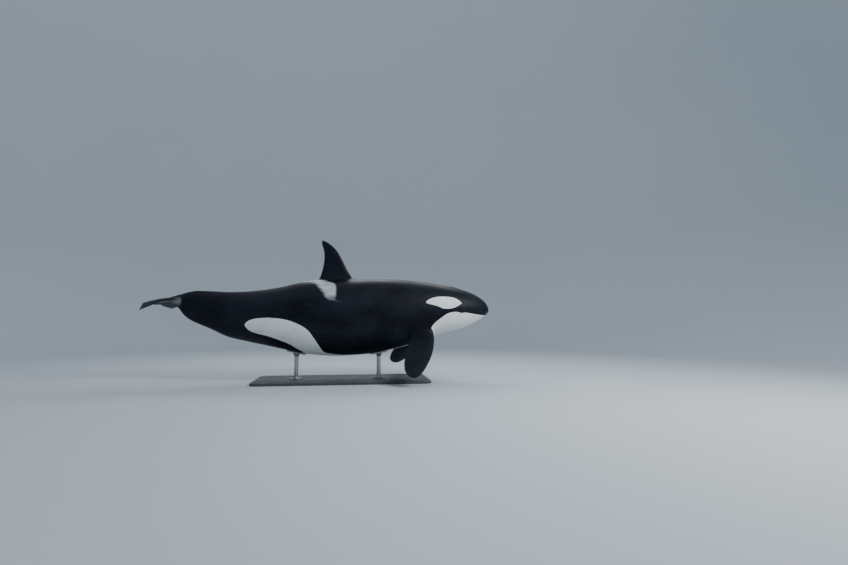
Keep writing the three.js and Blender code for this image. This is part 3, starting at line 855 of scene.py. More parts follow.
# %% Blowhole
CRESCENT = {"half": 48, "middle": 18, "bend": 30, "ends": (38, 52), "shade": 6}
BLOW_SWELLING, BLOW_LIPS, BLOW_SLIT = (9, 85, 0), (4, 9, 14), (-13, 5, 0)
TOP_ENDS, BELLY_STARTS = 1, 2

on_top = angle < TOP_ENDS
crescent = s - BLOWHOLE_S - CRESCENT["middle"] + CRESCENT["bend"] * (across / CRESCENT["half"]) ** 2
at_blowhole = on_top * (1 - ramp(np.abs(across), *CRESCENT["ends"]))
moves += on_top * fold(np.hypot(s - BLOWHOLE_S, across), *BLOW_SWELLING)
moves += at_blowhole * (fold(np.abs(crescent), *BLOW_LIPS) + fold(crescent, *BLOW_SLIT))
seam = np.maximum(seam, at_blowhole * bell(crescent, CRESCENT["shade"]))
print("blowhole", 2 * CRESCENT["half"], "mm wide")

# %% Slit and navel of the belly, and the dip of the nape
SLIT_FADE, SLIT_SHADE = 50, 0.8
SLIT_LIPS, SLIT_GROOVE = (5, 10, 14), (-9, 4, 0)
NAVEL_S, NAVEL_LONG, NAVEL_DIP = 2755, 1.6, (-7, 14, 0)
NAPE_DIP, NAPE_SIDES = (-5, 240, 830), (0.5, 1.2)

below = angle > BELLY_STARTS
slit_starts = ramp(s, SLIT[0], SLIT[0] + SLIT_FADE)
along_slit = below * slit_starts * (1 - ramp(s, SLIT[1] - SLIT_FADE, SLIT[1]))
moves += along_slit * (fold(np.abs(across), *SLIT_LIPS) + fold(across, *SLIT_GROOVE))
seam = np.maximum(seam, SLIT_SHADE * along_slit * bell(across, SLIT_GROOVE[1]))
moves += below * fold(np.hypot((s - NAVEL_S) / NAVEL_LONG, across), *NAVEL_DIP)
moves += fold(s, *NAPE_DIP) * (1 - ramp(angle, *NAPE_SIDES))

on_body = 1 - stored(skin, "fin")
write_points(skin, points + normals * (moves * on_body * MM)[:, None])
print("folds from", round(float(moves.min()), 1), "to", round(float(moves.max()), 1), "mm")

# %% [markdown]
# ## Markings
# The white runs from the lower jaw over the throat, narrows between the pectoral fins, follows
# the belly and sends a lobe up each flank. Along the middle of the belly it is kept narrower
# than the animal's own, as painted shade where the belly lay in shade. The eye patch is a
# slanted oval behind the eye.
# The saddle is pale grey and soft-edged, hooked over the back behind the dorsal fin. It thins
# out along the ridge and has a faint streak ahead of its lower end. The flukes are a little
# paler underneath in front by the root. The right one is far paler there than the left: that
# difference is painted light, as the left fluke lay in shade.

# %% Outlines of the markings
EYE_PATCH = (
    (552, 281), (580, 312), (615, 340), (684, 372), (771, 387), (857, 391), (943, 390), (1029, 378),
    (1100, 354), (1158, 322), (1184, 292), (1150, 272), (1100, 259), (1046, 246), (977, 228),
    (909, 198), (857, 187), (771, 187), (684, 206), (628, 233), (584, 258),
)
# Half-widths of the belly white. It truly narrows between the pectoral fins. From about s 1300 to 2500 it is
# kept narrower than the animal's own, as painted shade: black stands where the white belly lay in shade.
UNDER_SPREAD_NARROWED_IN_SHADE = (
    (560, 1.38), (650, 1.43), (760, 1.4), (850, 1.31), (930, 1.2), (1020, 1.07), (1080, 0.94),
    (1104, 0.82), (1112, 0.44), (1180, 0.3), (1420, 0.22), (1700, 0.18), (2050, 0.17), (2400, 0.22),
    (2640, 0.31), (2860, 0.42), (3060, 0.34), (3400, 0.18), (3900, 0.14), (4060, 0.06),
)
FLANK_LOBE = (
    (2850, -596), (2925, -473), (2988, -369), (3052, -269), (3118, -180), (3216, -108), (3334, -50),
    (3446, -12), (3575, 14), (3735, 28), (3897, 24), (4010, 6), (4096, -28), (4144, -88), (4084, -168),
    (3988, -214), (3875, -243), (3745, -278), (3585, -337), (3430, -403), (3322, -473), (3229, -527),
    (3122, -577),
)
SADDLE_SIDE = (
    (2840, 655), (2744, 628), (2692, 586), (2680, 510), (2680, 430), (2684, 372), (2704, 336),
    (2756, 322), (2812, 344), (2884, 424), (2976, 545), (3070, 622), (3170, 644), (3300, 627),
    (3440, 591),
)
SADDLE_FRONT, SADDLE_END = 2900, 3600
print("outlines ready")

# %% White of jaw, belly, flanks and eye patches
UNDER_STEPS = ((560, 1100, 20), (1104, 1180, 6), (1180, 4061, 60))
JAW_END = 620
BELOW_SEAM = 1
LOBE_FILLET, PATCH_FILLET = 24, 4
FIN_EDGE = (0.25, 0.8)

points = read_points(skin)
s, height, angle, side = body_map(points)
side_place = np.stack([s, angle * MAP_RADIUS], axis=1)
belly_place = np.stack([s, (math.pi - angle) * side * MAP_RADIUS], axis=1)

patch = inside_by(side_place, closed_curve(on_side(EYE_PATCH)))
lobe = inside_by(side_place, closed_curve(on_side(FLANK_LOBE)))
under_s = np.concatenate([np.arange(*steps) for steps in UNDER_STEPS])
under_half = np.stack([under_s, curve_through(UNDER_SPREAD_NARROWED_IN_SHADE)(under_s) * MAP_RADIUS], axis=1)
under = inside_by(belly_place, np.concatenate([under_half, (under_half * [1, -1])[::-1]]))
jaw = np.minimum(-above - BELOW_SEAM, JAW_END - s)
white = join_smoothly(np.maximum(under, jaw), lobe, LOBE_FILLET)
white = join_smoothly(white, patch, PATCH_FILLET)
off_body = FAR * ramp(stored(skin, "fin"), *FIN_EDGE)
store(skin, "white", np.clip(white, -FAR, FAR) - off_body)
store(skin, "seam", seam * on_body)
print("white on", round(100 * float(np.mean(white > 0))), "% of the points")

# %% Grey of the saddle
RIDGE_THINS, RIDGE_STARTS, RIDGE_STOPS = 0.45, (2760, 2880), (3060, 3200)
FOOT_LEAST, FOOT_GAIN, FOOT_HEIGHTS = 4, 50, (340, 560)
STREAK_FROM, STREAK_TO = 2430, 2740
STREAK_HEIGHT, STREAK_RISE, STREAK_RISES = 294, 34, (2630, 2730)
STREAK_HALF, STREAK_FAINT, STREAK_GROWS = 15, 11, (2470, 2690)

back_place = np.stack([s, angle * side * MAP_RADIUS], axis=1)
saddle_half = on_side(SADDLE_SIDE)
saddle_outline = np.concatenate(
    [saddle_half, [[SADDLE_END, 0]], (saddle_half * [1, -1])[::-1], [[SADDLE_FRONT, 0]]]
)
saddle = inside_by(back_place, closed_curve(saddle_outline, 4))
saddle = saddle * (1 - RIDGE_THINS * ramp(s, *RIDGE_STARTS) * (1 - ramp(s, *RIDGE_STOPS)))
saddle = np.minimum(saddle, FOOT_LEAST + FOOT_GAIN * ramp(height, *FOOT_HEIGHTS))
from_streak = np.abs(height - STREAK_HEIGHT - STREAK_RISE * ramp(s, *STREAK_RISES))
streak = STREAK_HALF * ramp(s, *STREAK_GROWS) - STREAK_FAINT - from_streak
streak = np.where((s > STREAK_FROM) & (s < STREAK_TO), streak, -FAR)
store(skin, "saddle", np.clip(np.maximum(saddle, streak), -FAR, FAR) - off_body)
print("saddle on", round(100 * float(np.mean(saddle > 0))), "% of the points")

# %% Pale front of the flukes: their own paler underside, with painted light on the near one
# Painted light: the near fluke gets a strong pale tone and the far one almost none, as the far one lay in
# shade. Under that is the flukes' own paler underside by the root.
PALE_LIT_NEAR_SHADED_FAR = {-1: 0.36, 1: 0.03}
PALE_STARTS, PALE_CHORD, PALE_SPAN = (5100, 5180), (0.12, 0.3), (0.15, 0.36)
PALE_FACING, PALE_ROOT = (-0.35, 0.3), (0, 0.6)
LEAST_CHORD = 30

out = np.abs(points[:, 1]) / MM
front, rear = fluke_front(out), fluke_back(out)
chord_share = (s - front) / np.maximum(rear - front, LEAST_CHORD)
pale = ramp(s, *PALE_STARTS) * (1 - ramp(chord_share, *PALE_CHORD))
pale = pale * (1 - ramp(out / FLUKE_SPAN, *PALE_SPAN)) * ramp(stored(skin, "fin"), *PALE_ROOT)
pale = pale * ramp(-read_normals(skin)[:, 2], *PALE_FACING)
store(skin, "pale", pale * np.where(side < 0, PALE_LIT_NEAR_SHADED_FAR[-1], PALE_LIT_NEAR_SHADED_FAR[1]))
print("pale on", int(np.sum(pale > 0.5)), "points")

# %% [markdown]
# ## Skin
# Orca skin is smooth, but it is never one flat black. It is blue-black with soft clouds, and
# it carries sets of fine pale scratches from other orcas' teeth. The white is an off-white with
# a few grey marks. The photograph shows it under water, where it hardly shines, so its gloss is
# kept low. All of it could be painted by hand. Noise textures on Object coordinates do the same
# at any scale, and the stored distances say where each goes.


# %% A maker of finishes
class Finish:
    """A material in the making, with short ways to add its nodes."""

    def __init__(self, name, roughness, metallic=0.0, **sockets):
        self.material = bpy.data.materials.new(name)
        self.material.use_nodes = True
        self.nodes = self.material.node_tree.nodes
        self.links = self.material.node_tree.links
        self.shader = self.nodes["Principled BSDF"]
        self.shader.inputs["Roughness"].default_value = roughness
        self.shader.inputs["Metallic"].default_value = metallic
        for socket, value in sockets.items():
            self.shader.inputs[socket.replace("_", " ")].default_value = value
        self.place = self.nodes.new("ShaderNodeTexCoord").outputs["Object"]

    def put(self, socket, value):
        if isinstance(value, bpy.types.NodeSocket):
            self.links.new(value, socket)
        else:
            socket.default_value = value

    def stretched(self, size, turn):
        """Coordinates with one step of a pattern as long, wide and high as size, in metres."""
        mapping = self.nodes.new("ShaderNodeMapping")
        self.links.new(self.place, mapping.inputs["Vector"])
        mapping.inputs["Rotation"].default_value = [math.radians(a) for a in turn]
        mapping.inputs["Scale"].default_value = [1 / length for length in size]
        return mapping.outputs["Vector"]

    def noise(self, size, detail, roughness=0.55, turn=(0, 0, 0)):
        texture = self.nodes.new("ShaderNodeTexNoise")
        self.links.new(self.stretched(size, turn), texture.inputs["Vector"])
        texture.inputs["Scale"].default_value = 1
        texture.inputs["Detail"].default_value = detail
        texture.inputs["Roughness"].default_value = roughness
        return texture.outputs["Fac"]

    def spread(self, value, low, high, to_low=0.0, to_high=1.0):
        """Turns low to high into to_low to to_high, with a smooth start and end."""
        ranger = self.nodes.new("ShaderNodeMapRange")
        ranger.interpolation_type = "SMOOTHSTEP"
        self.put(ranger.inputs["Value"], value)
        settings = {"From Min": low, "From Max": high, "To Min": to_low, "To Max": to_high}
        for socket, number in settings.items():
            ranger.inputs[socket].default_value = number
        return ranger.outputs["Result"]

    def work_out(self, operation, a, b, c=0.0):
        sum_node = self.nodes.new("ShaderNodeMath")
        sum_node.operation = operation
        for socket, value in zip(sum_node.inputs, (a, b, c)):
            self.put(socket, value)
        return sum_node.outputs["Value"]

    def times(self, a, b):
        return self.work_out("MULTIPLY", a, b)

    def blend(self, share, under, over):
        """The colour under where share is 0, and the colour over where it is 1."""
        mix = self.nodes.new("ShaderNodeMix")
        mix.data_type = "RGBA"
        self.put(mix.inputs[0], share)
        for socket, colour in ((mix.inputs[6], under), (mix.inputs[7], over)):
            self.put(socket, (*colour, 1) if isinstance(colour, tuple) else colour)
        return mix.outputs[2]

    def mark(self, name):
        """The number that the piece has stored under this name."""
        reader = self.nodes.new("ShaderNodeAttribute")
        reader.attribute_name = name
        return reader.outputs["Fac"]

    def bump(self, height, depth):
        relief = self.nodes.new("ShaderNodeBump")
        relief.inputs["Distance"].default_value = depth
        self.links.new(height, relief.inputs["Height"])
        self.links.new(relief.outputs["Normal"], self.shader.inputs["Normal"])

    def colour(self, value):
        self.put(self.shader.inputs["Base Color"], value)

    def roughness(self, value):
        self.put(self.shader.inputs["Roughness"], value)


print("finish maker ready")

# %% Scratches in sets, as teeth leave them
RAKE_SCALE, RAKE_WAVER, RAKE_WAVER_SCALE = 0.32, 1.6, 0.12
RAKE_THIN = 0.975


def rake_marks(finish, spacing, turn, patch, threshold):
    """Thin parallel lines, only inside some soft patches."""
    wave = finish.nodes.new("ShaderNodeTexWave")
    wave.bands_direction = "Z"
    finish.links.new(finish.stretched((spacing,) * 3, turn), wave.inputs["Vector"])
    wave.inputs["Scale"].default_value = RAKE_SCALE
    wave.inputs["Distortion"].default_value = RAKE_WAVER
    wave.inputs["Detail"].default_value = 1
    wave.inputs["Detail Scale"].default_value = RAKE_WAVER_SCALE
    lines = finish.spread(wave.outputs["Fac"], RAKE_THIN, 1)
    where = finish.spread(finish.noise(patch, 1, turn=turn), threshold, threshold + 0.05)
    return finish.times(lines, where)


def all_scratches(finish):
    return finish.work_out(
        "MAXIMUM",
        rake_marks(finish, 0.02, (12, 9, 0), (0.55, 0.2, 0.16), 0.63),
        rake_marks(finish, 0.03, (-20, -24, 10), (0.4, 0.2, 0.2), 0.73),
    )


print("scratches ready")

# %% Colours of the skin
BLACK_DEEP, BLACK_PALE = (0.003, 0.0044, 0.008), (0.009, 0.013, 0.021)
WHITE_CLEAN, WHITE_WORN = (0.8, 0.83, 0.83), (0.62, 0.66, 0.66)
SADDLE_GREY, SADDLE_PALE = (0.36, 0.41, 0.46), (0.55, 0.6, 0.64)
SCRATCH_ON_BLACK, SCRATCH_ON_WHITE = (0.1, 0.12, 0.145), (0.3, 0.34, 0.36)
SEAM_DARK = (0.006, 0.006, 0.008)


def clouded_black(finish, clouds, scratches):
    fine_clouds = finish.noise((0.09, 0.05, 0.05), 4)
    black = finish.blend(finish.spread(clouds, 0.35, 0.68), BLACK_DEEP, BLACK_PALE)
    black = finish.blend(finish.spread(fine_clouds, 0.4, 0.85, 0, 0.55), black, BLACK_PALE)
    return finish.blend(finish.times(scratches, 0.4), black, SCRATCH_ON_BLACK)


def with_grey(finish, colour):
    """Lays the saddle's grey over a colour, with a ragged soft edge, and the paler tone of the fluke, partly
    its own and partly painted light.
    """
    grain = finish.noise((0.3, 0.1, 0.1), 3)
    grey = finish.blend(finish.spread(grain, 0.3, 0.7), SADDLE_GREY, SADDLE_PALE)
    ragged = finish.spread(finish.noise((0.16, 0.05, 0.05), 3), 0.25, 0.75, -5, 5)
    saddle = finish.spread(finish.work_out("ADD", finish.mark("saddle"), ragged), -16, 30, 0, 0.92)
    # Partly the fluke's own paler underside, partly painted light, far stronger on the near fluke.
    pale = finish.times(finish.mark("pale"), finish.spread(grain, 0.2, 0.8, 0.5, 1))
    return finish.blend(pale, finish.blend(saddle, colour, grey), SADDLE_PALE)


def with_white(finish, colour, scratches):
    """Lays the white over a colour, with an edge that wavers by a millimetre or two."""
    worn = finish.spread(finish.noise((0.35, 0.2, 0.2), 5, 0.6), 0.45, 0.8, 0, 0.7)
    white = finish.blend(worn, WHITE_CLEAN, WHITE_WORN)
    white = finish.blend(finish.times(scratches, 0.35), white, SCRATCH_ON_WHITE)
    jagged = finish.spread(finish.noise((0.03, 0.016, 0.016), 3), 0.2, 0.8, -1.6, 1.6)
    in_white = finish.spread(finish.work_out("ADD", finish.mark("white"), jagged), -2, 2)
    return finish.blend(in_white, colour, white)


print("skin colours ready")


# %% The skin's finish
def wet_skin():
    finish = Finish("orca_skin", 0.42, Specular_IOR_Level=0.12)
    clouds = finish.noise((0.7, 0.4, 0.4), 5)
    scratches = all_scratches(finish)
    colour = with_grey(finish, clouded_black(finish, clouds, scratches))
    colour = with_white(finish, colour, scratches)
    seam = finish.spread(finish.mark("seam"), 0.25, 0.9)
    finish.colour(finish.blend(finish.times(seam, 0.92), colour, SEAM_DARK))

    gloss = finish.spread(clouds, 0.3, 0.7, 0.38, 0.5)
    gloss = finish.work_out("MULTIPLY_ADD", scratches, 0.2, gloss)
    finish.roughness(finish.work_out("MULTIPLY_ADD", seam, 0.25, gloss))
    pores = finish.noise((0.008, 0.005, 0.005), 3)
    folds = finish.noise((0.12, 0.02, 0.02), 2)
    relief = finish.work_out("MULTIPLY_ADD", folds, 1.6, finish.times(pores, 0.35))
    finish.bump(finish.work_out("MULTIPLY_ADD", scratches, -0.5, relief), 0.0003)
    return finish.material


def dress(piece, material, stands_for):
    """Gives a finished piece its material and its smooth look, hides the solids that it stands for and hangs
    it on the root body.
    """
    piece.data.materials.clear()
    piece.data.materials.append(material)
    activate(piece)
    bpy.ops.object.shade_smooth()
    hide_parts(*stands_for)
    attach(piece, "root")


FLESH = (
    "head", "lower_jaw", "throat_patch", "eye_patch_left", "eye_patch_right", "torso", "belly_patch",
    "saddle_patch", "dorsal_fin", "pectoral_left", "pectoral_right", "tail_stock", "fluke_left",
    "fluke_right",
)
dress(skin, wet_skin(), FLESH)
print("skin dressed, triangles", sum(len(face.vertices) - 2 for face in skin.data.polygons))

# %% [markdown]
# ## Eyes
# The eye is small for so large an animal, dark brown and always wet. It is a ball with a
# bulging cornea: the points of the sphere round the line of sight are pushed out a little.
# Each point keeps its distance from that line, and the iris and pupil are coloured by it.

# %% Eyes
EYE_RADIUS, EYE_PROUD = 25, 5
CORNEA_BULGE, CORNEA_WIDTH = 1.6, 11.2
IRIS_RADIUS, IRIS_EDGE, PUPIL_RADIUS, PUPIL_LONG = 14, 3.5, 6, 1.35
IRIS_BROWN = (0.022, 0.011, 0.007), (0.07, 0.036, 0.018)
EYEBALL_BROWN = (0.05, 0.035, 0.03), (0.12, 0.09, 0.08)
PUPIL_BLACK = (0.002, 0.002, 0.003)


def eye_finish():
    finish = Finish("orca_eye", 0.06, Coat_Weight=1.0, Coat_Roughness=0.02, IOR=1.4)
    from_centre = finish.mark("from_pupil")
    streaks = finish.noise((0.004, 0.004, 0.0012), 4)
    iris = finish.blend(finish.spread(streaks, 0.3, 0.7), *IRIS_BROWN)
    rim = finish.spread(from_centre, IRIS_RADIUS - IRIS_EDGE, IRIS_RADIUS)
    eyeball = finish.blend(finish.spread(streaks, 0.3, 0.75), *EYEBALL_BROWN)
    colour = finish.blend(rim, iris, eyeball)
    pupil = finish.spread(from_centre, PUPIL_RADIUS - 1, PUPIL_RADIUS + 1, 1, 0)
    finish.colour(finish.blend(pupil, colour, PUPIL_BLACK))
    finish.bump(streaks, 0.0002)
    return finish.material


def make_eye(name, side, material):
    centre = eye_spot * [1, side, 1] + np.array([0, side * (EYE_PROUD - EYE_RADIUS) * MM, 0])
    deselect_all()
    bpy.ops.mesh.primitive_uv_sphere_add(segments=40, ring_count=28, radius=EYE_RADIUS * MM)
    eye = new_piece("eyeball_" + name)
    edit(eye)
    bpy.ops.transform.rotate(value=math.pi / 2, orient_axis="X", center_override=(0, 0, 0))
    done_editing()
    points = read_points(eye) / MM
    from_axis = np.hypot(points[:, 0], points[:, 2])
    ahead = side * points[:, 1] > 0
    pupil = np.hypot(points[:, 0] / PUPIL_LONG, points[:, 2])
    store(eye, "from_pupil", np.where(ahead, pupil, EYE_RADIUS))
    points[:, 1] += side * CORNEA_BULGE * ahead * bell(from_axis, CORNEA_WIDTH)
    write_points(eye, points * MM + centre)
    dress(eye, material, ["eye_" + name])


eye_material = eye_finish()
for name, side in (("left", 1), ("right", -1)):
    make_eye(name, side, eye_material)
print("eyes", EYE_RADIUS * 2, "mm across")

# %% [markdown]
# ## The stand
# The stand is plain: a thick steel plate with rounded corners, two turned rods with bolted
# flanges, and two cradles that follow the belly. The plate starts as a cube, whose upright
# edges get a wide bevel and whose rims get a fine one. Nothing catches light like that fine
# bevel, so it is never left out.

# %% Base plate
BASE = {"length": 2900, "width": 1240, "thickness": 40, "corner": 120, "bevel": 5, "s": 2560}
RODS = {"front": 1950, "back": 3340}


def bevel_edges(piece, upright, width, segments):
    """Rounds the upright edges of a plate, or else its level ones."""
    heights = read_points(piece)[:, 2]
    rises = [abs(heights[edge.vertices[0]] - heights[edge.vertices[1]]) for edge in piece.data.edges]
    select_parts(piece, "EDGE", piece.data.edges, (np.array(rises) > MM) == upright)
    bpy.ops.mesh.bevel(offset=width * MM, segments=segments, affect="EDGES")


def make_base():
    deselect_all()
    bpy.ops.mesh.primitive_cube_add(size=1)
    plate = new_piece("base_plate")
    edit(plate)
    size = [BASE[key] * MM for key in ("length", "width", "thickness")]
    bpy.ops.transform.resize(value=size, center_override=(0, 0, 0))
    bpy.ops.transform.translate(value=(x_of(BASE["s"]), 0, size[2] / 2))
    done_editing()
    bevel_edges(plate, True, BASE["corner"], 14)
    done_editing()
    bevel_edges(plate, False, BASE["bevel"], 3)
    turn_outwards()
    return plate


plate = make_base()
print("base plate", len(plate.data.polygons), "faces")

# %% [markdown]
# ### Turned pieces
# A lathe makes the rods and the flanges, and Spin is the same thing: one point is extruded
# along the profile, and the line that it leaves is spun round the rod's axis.

# %% A lathe and the rods
ROD_RADIUS = 36
ROD_SUNK = 4
JOINT_GAP = 0.3
FLANGE = {"radius": 105, "thickness": 18, "collar": 52, "height": 60, "bolts": 4}
BOLT = {"radius": 11, "height": 8, "sunk": 0.4, "bevel": 1.2, "past_middle": 2}
WASHER = {"radius": 14.5, "height": 2, "sunk": 0.1}
CRADLE = {"length": 300, "spread": 0.26, "thickness": 22, "liner": 8}
FOOT = BASE["thickness"] + JOINT_GAP


def turned(name, profile, x, steps=48):
    """A turned piece on an upright axis at x, from pairs of radius and height in metres."""
    deselect_all()
    bpy.ops.mesh.primitive_plane_add(size=0.001)
    piece = new_piece(name)
    edit(piece)
    bpy.ops.mesh.merge(type="CENTER")
    bpy.ops.transform.translate(value=(x + profile[0][0], 0, profile[0][1]))
    for (r0, z0), (r1, z1) in zip(profile, profile[1:]):
        bpy.ops.mesh.extrude_region_move(TRANSFORM_OT_translate={"value": (r1 - r0, 0, z1 - z0)})
    bpy.ops.mesh.select_all(action="SELECT")
    bpy.ops.mesh.spin(steps=steps, angle=2 * math.pi, center=(x, 0, 0), axis=(0, 0, 1))
    bpy.ops.mesh.select_all(action="SELECT")
    bpy.ops.mesh.remove_doubles(threshold=0.00005)
    turn_outwards()
    return piece


def in_metres(pairs):
    return [(radius * MM, height * MM) for radius, height in pairs]


def make_rod(name, s):
    """A rod that widens at the top into the socket of the cradle."""
    top = (skin_point(s, math.pi)[2] / MM) - CRADLE["thickness"] + ROD_SUNK
    profile = (
        (0, FOOT), (ROD_RADIUS, FOOT), (ROD_RADIUS, top - 70), (ROD_RADIUS + 2, top - 50),
        (ROD_RADIUS + 9, top - 30), (ROD_RADIUS + 19, top - 17), (ROD_RADIUS + 22, top - 13),
        (ROD_RADIUS + 22, top - 4), (ROD_RADIUS + 19, top), (0, top),
    )
    return turned("rod_" + name, in_metres(profile), x_of(s))


print("lathe ready")


# %% Bolts on washers
def cylinder(sides, radius, depth):
    """A cylinder of so many sides round the origin, sized in millimetres."""
    deselect_all()
    bpy.ops.mesh.primitive_cylinder_add(vertices=sides, radius=radius * MM, depth=depth * MM)
    return bpy.context.active_object


def make_bolt(s, share, face):
    """A bolt's hexagon head with a bevelled top, on a washer. Each is sunk a little into what
    lies below it."""
    reach = (FLANGE["radius"] + FLANGE["collar"]) / 2 + BOLT["past_middle"]
    turn = share * 2 * math.pi
    spot = np.array([x_of(s) + reach * math.cos(turn) * MM, reach * math.sin(turn) * MM, face * MM])
    head = cylinder(6, BOLT["radius"], BOLT["height"])
    select_faces(head, [abs(each.normal[2]) > 0.9 for each in head.data.polygons])
    bpy.ops.mesh.bevel(offset=BOLT["bevel"] * MM, segments=2, affect="EDGES")
    done_editing()
    washer_up = WASHER["height"] / 2 - WASHER["sunk"]
    head_up = WASHER["height"] + BOLT["height"] / 2 - BOLT["sunk"]
    write_points(head, read_points(head) + spot + np.array([0, 0, head_up * MM]))
    washer = cylinder(28, WASHER["radius"], WASHER["height"])
    write_points(washer, read_points(washer) + spot + np.array([0, 0, washer_up * MM]))
    return join(head, [washer])


print("bolts ready")


# %% Rods and flanges in place
def make_flange(name, s):
    r, face = FLANGE["radius"], FOOT + FLANGE["thickness"]
    collar, rim = FLANGE["collar"], FOOT + FLANGE["height"]
    bore = ROD_RADIUS + JOINT_GAP
    profile = (
        (bore, FOOT), (r - 1, FOOT), (r, FOOT + 1), (r, face - 3), (r - 3, face), (collar + 9, face),
        (collar + 4, face + 2), (collar + 1, face + 5), (collar, face + 10), (collar, rim - 3),
        (collar - 3, rim), (bore + 1, rim), (bore, rim - 1), (bore, FOOT),
    )
    flange = turned("flange_" + name, in_metres(profile), x_of(s))
    shares = [(i + 0.5) / FLANGE["bolts"] for i in range(FLANGE["bolts"])]
    return join(flange, [make_bolt(s, share, face) for share in shares])


rods = {name: make_rod(name, s) for name, s in RODS.items()}
flanges = {name: make_flange(name, s) for name, s in RODS.items()}
print("rods and flanges", len(rods) + len(flanges))

# %% [markdown]
# ### Cradles
# Each cradle is a plate bent to the belly, with a rubber liner between it and the skin. A flat
# grid is laid on the curve of the belly and Solidify gives it its thickness, so the plate and
# the liner follow the skin exactly. Bevel softens their rims.

# %% Cradles with their liners
BELLY_RADIUS = 560
CORNER_CUT, CORNER_POWER = 0.055, 9
SHEET_BEVEL = 1.6
LINER_GAP, LINER_MARGIN = 0.4, 4


def belly_sheet(name, s, depth, thickness, margin):
    """A rounded plate whose upper face lies `depth` mm under the belly."""
    deselect_all()
    bpy.ops.mesh.primitive_grid_add(x_subdivisions=20, y_subdivisions=24, size=2)
    sheet = new_piece(name)
    flat = read_points(sheet)
    u, v = flat[:, 0], flat[:, 1]
    half = CRADLE["length"] / 2 - margin
    spread = CRADLE["spread"] - margin / BELLY_RADIUS
    here_s = s + u * half * (1 - CORNER_CUT * np.abs(v) ** CORNER_POWER)
    here_angle = math.pi + v * spread * (1 - CORNER_CUT * np.abs(u) ** CORNER_POWER)
    on_skin = skin_point(here_s, here_angle)
    along = skin_point(here_s + 2, here_angle) - skin_point(here_s - 2, here_angle)
    round_it = skin_point(here_s, here_angle + 0.01) - skin_point(here_s, here_angle - 0.01)
    away = np.cross(along, round_it)
    away *= -np.sign(away[:, 2:]) / np.linalg.norm(away, axis=1)[:, None]
    write_points(sheet, on_skin + away * depth * MM)
    edit(sheet)
    turn_outwards()
    lower = sheet.data.polygons[0].normal[2] < 0
    apply_modifier(sheet, "SOLIDIFY", thickness=thickness * MM, offset=1 if lower else -1)
    rim = {"width": SHEET_BEVEL * MM, "segments": 2, "limit_method": "ANGLE", "angle_limit": 0.9}
    apply_modifier(sheet, "BEVEL", **rim)
    return sheet


cradles, liners = {}, {}
for name, s in RODS.items():
    liner, plate_thickness = CRADLE["liner"], CRADLE["thickness"] - CRADLE["liner"]
    liners[name] = belly_sheet(
        "cradle_liner_" + name, s, LINER_GAP, liner - LINER_GAP, LINER_MARGIN
    )
    cradles[name] = belly_sheet("cradle_" + name, s, liner, plate_thickness, 0)
print("cradles", len(cradles), "with", len(liners), "liners")

# %% [markdown]
# ## Finishes of the stand
# The plate is sprayed a dark satin grey, with the faint orange-peel of sprayed paint and a
# little dust. The rods, flanges and cradles are brushed steel: fine scratches run round the
# turned pieces, so the noise is squashed in height. The liners are dull black rubber.

# %% Paint, steel and rubber
PAINT_GREY, PAINT_DUSTY = (0.047, 0.052, 0.058), (0.082, 0.088, 0.095)
STEEL_DARK, STEEL_BRIGHT, STEEL_STAINED = (0.36, 0.37, 0.385), (0.5, 0.51, 0.52), (0.3, 0.3, 0.31)
RUBBER_BLACK, RUBBER_GREY = (0.012, 0.012, 0.013), (0.035, 0.035, 0.036)
SHARP_ANGLE = 35


def sprayed_paint():
    finish = Finish("stand_paint", 0.42)
    dust = finish.spread(finish.noise((0.35, 0.35, 0.35), 6, 0.6), 0.42, 0.8, 0, 0.35)
    finish.colour(finish.blend(dust, PAINT_GREY, PAINT_DUSTY))
    finish.roughness(finish.spread(finish.noise((0.2, 0.2, 0.2), 5), 0.3, 0.7, 0.36, 0.5))
    finish.bump(finish.noise((0.0035, 0.0035, 0.0035), 2), 0.0003)
    return finish.material


def brushed_steel():
    finish = Finish("stand_steel", 0.33, 1.0, Anisotropic=0.3)
    brush = finish.noise((0.05, 0.05, 0.0008), 3, 0.6)
    stains = finish.noise((0.09, 0.09, 0.06), 5)
    brushed = finish.blend(finish.spread(brush, 0.3, 0.7), STEEL_DARK, STEEL_BRIGHT)
    finish.colour(finish.blend(finish.spread(stains, 0.5, 0.8, 0, 0.5), brushed, STEEL_STAINED))
    finish.roughness(finish.spread(finish.times(brush, stains), 0.1, 0.4, 0.27, 0.42))
    finish.bump(brush, 0.0001)
    return finish.material


def liner_rubber():
    finish = Finish("liner_rubber", 0.75)
    bloom = finish.noise((0.04, 0.04, 0.04), 5)
    finish.colour(finish.blend(finish.spread(bloom, 0.35, 0.75), RUBBER_BLACK, RUBBER_GREY))
    finish.roughness(finish.spread(bloom, 0.3, 0.7, 0.65, 0.85))
    finish.bump(finish.noise((0.002, 0.002, 0.002), 2), 0.0003)
    return finish.material


steel, rubber = brushed_steel(), liner_rubber()
dress(plate, sprayed_paint(), ["stand_base"])
for name in RODS:
    dress(rods[name], steel, ["stand_rod_" + name])
    dress(flanges[name], steel, ["stand_flange_" + name])
    dress(cradles[name], steel, ["stand_cradle_" + name])
    dress(liners[name], rubber, [])
for piece in (plate, *rods.values(), *flanges.values(), *cradles.values(), *liners.values()):
    activate(piece)
    bpy.ops.object.shade_smooth_by_angle(angle=math.radians(SHARP_ANGLE))
print("stand dressed")

# %% [markdown]
# ## The studio
# Floor and wall are one pale sweep with no corner, turned round an upright axis so that every
# side of the model has the same background. Daylight falls through water from above and in
# front, so one soft light stands high up ahead of the animal. A long one hangs over its far
# side and draws a thin bright line along the back. The pale air of the studio lights the rest.

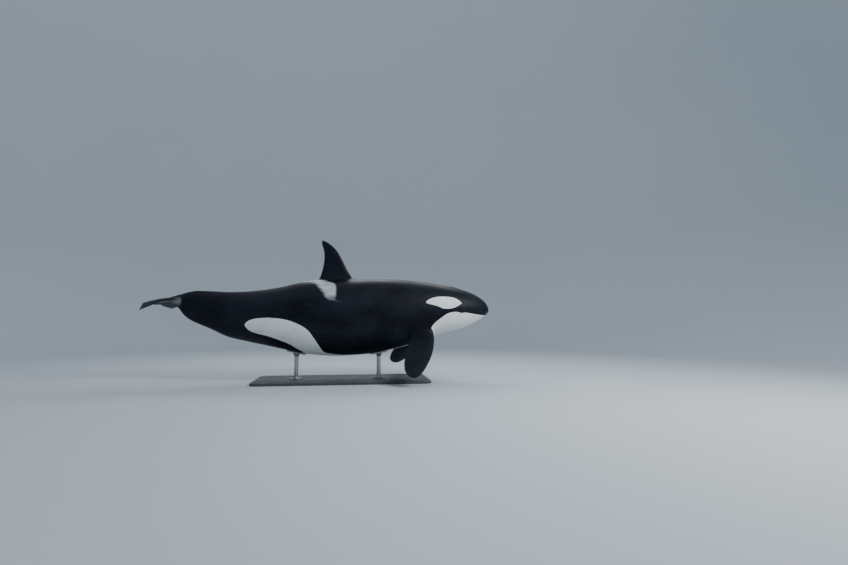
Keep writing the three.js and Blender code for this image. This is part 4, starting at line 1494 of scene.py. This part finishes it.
# %% Sweep and lights
STUDIO_RADIUS, COVE_RADIUS, WALL_HEIGHT = 15, 4.5, 18
COVE_STEPS = 12
FLOOR_GAP = 0.0006
PAPER_COLOURS = (0.5, 0.55, 0.59), (0.53, 0.58, 0.62)
AIR_COLOUR, AIR_STRENGTH = (0.82, 0.9, 1, 1), 0.85
WHITE_LIGHT, WARM_LIGHT = (1, 1, 1), (1, 0.99, 0.97)
LIGHTS = {
    "overhead": {"place": (1.2, 4.6, 6.2), "aim": (0, 0, 1.2), "size": (7, 2), "power": 210},
    "ahead": {"place": (7, -6, 6), "aim": (0.3, 0, 1.2), "size": (3, 3), "power": 700},
}
LIGHT_COLOURS = {"overhead": WHITE_LIGHT, "ahead": WARM_LIGHT}


def make_sweep():
    turns = [math.pi / 2 * i / COVE_STEPS for i in range(COVE_STEPS + 1)]
    cove = [
        (STUDIO_RADIUS - COVE_RADIUS * (1 - math.sin(turn)), COVE_RADIUS * (1 - math.cos(turn)))
        for turn in turns
    ]
    sweep = turned("studio_sweep", [(0, 0), *cove, (STUDIO_RADIUS, WALL_HEIGHT)], 0, 96)
    write_points(sweep, read_points(sweep) - [0, 0, FLOOR_GAP])
    finish = Finish("studio_paper", 0.85)
    finish.colour(finish.blend(finish.noise((3, 3, 3), 2), *PAPER_COLOURS))
    sweep.data.materials.append(finish.material)
    activate(sweep)
    bpy.ops.object.shade_smooth()


def soft_light(name, place, aim, size, power, colour):
    data = bpy.data.lights.new(name, "AREA")
    data.shape = "RECTANGLE"
    data.size, data.size_y = size
    data.energy, data.color = power, colour
    light = bpy.data.objects.new(name, data)
    light.location = place
    toward = Vector(aim) - Vector(place)
    light.rotation_euler = toward.to_track_quat("-Z", "Y").to_euler()
    light.visible_camera = False
    bpy.context.scene.collection.objects.link(light)


make_sweep()
for name, settings in LIGHTS.items():
    soft_light(name, colour=LIGHT_COLOURS[name], **settings)

world = bpy.data.worlds.new("studio_air")
world.use_nodes = True
background = world.node_tree.nodes["Background"]
background.inputs["Color"].default_value = AIR_COLOUR
background.inputs["Strength"].default_value = AIR_STRENGTH
bpy.context.scene.world = world
print("studio", STUDIO_RADIUS * 2, "m across")
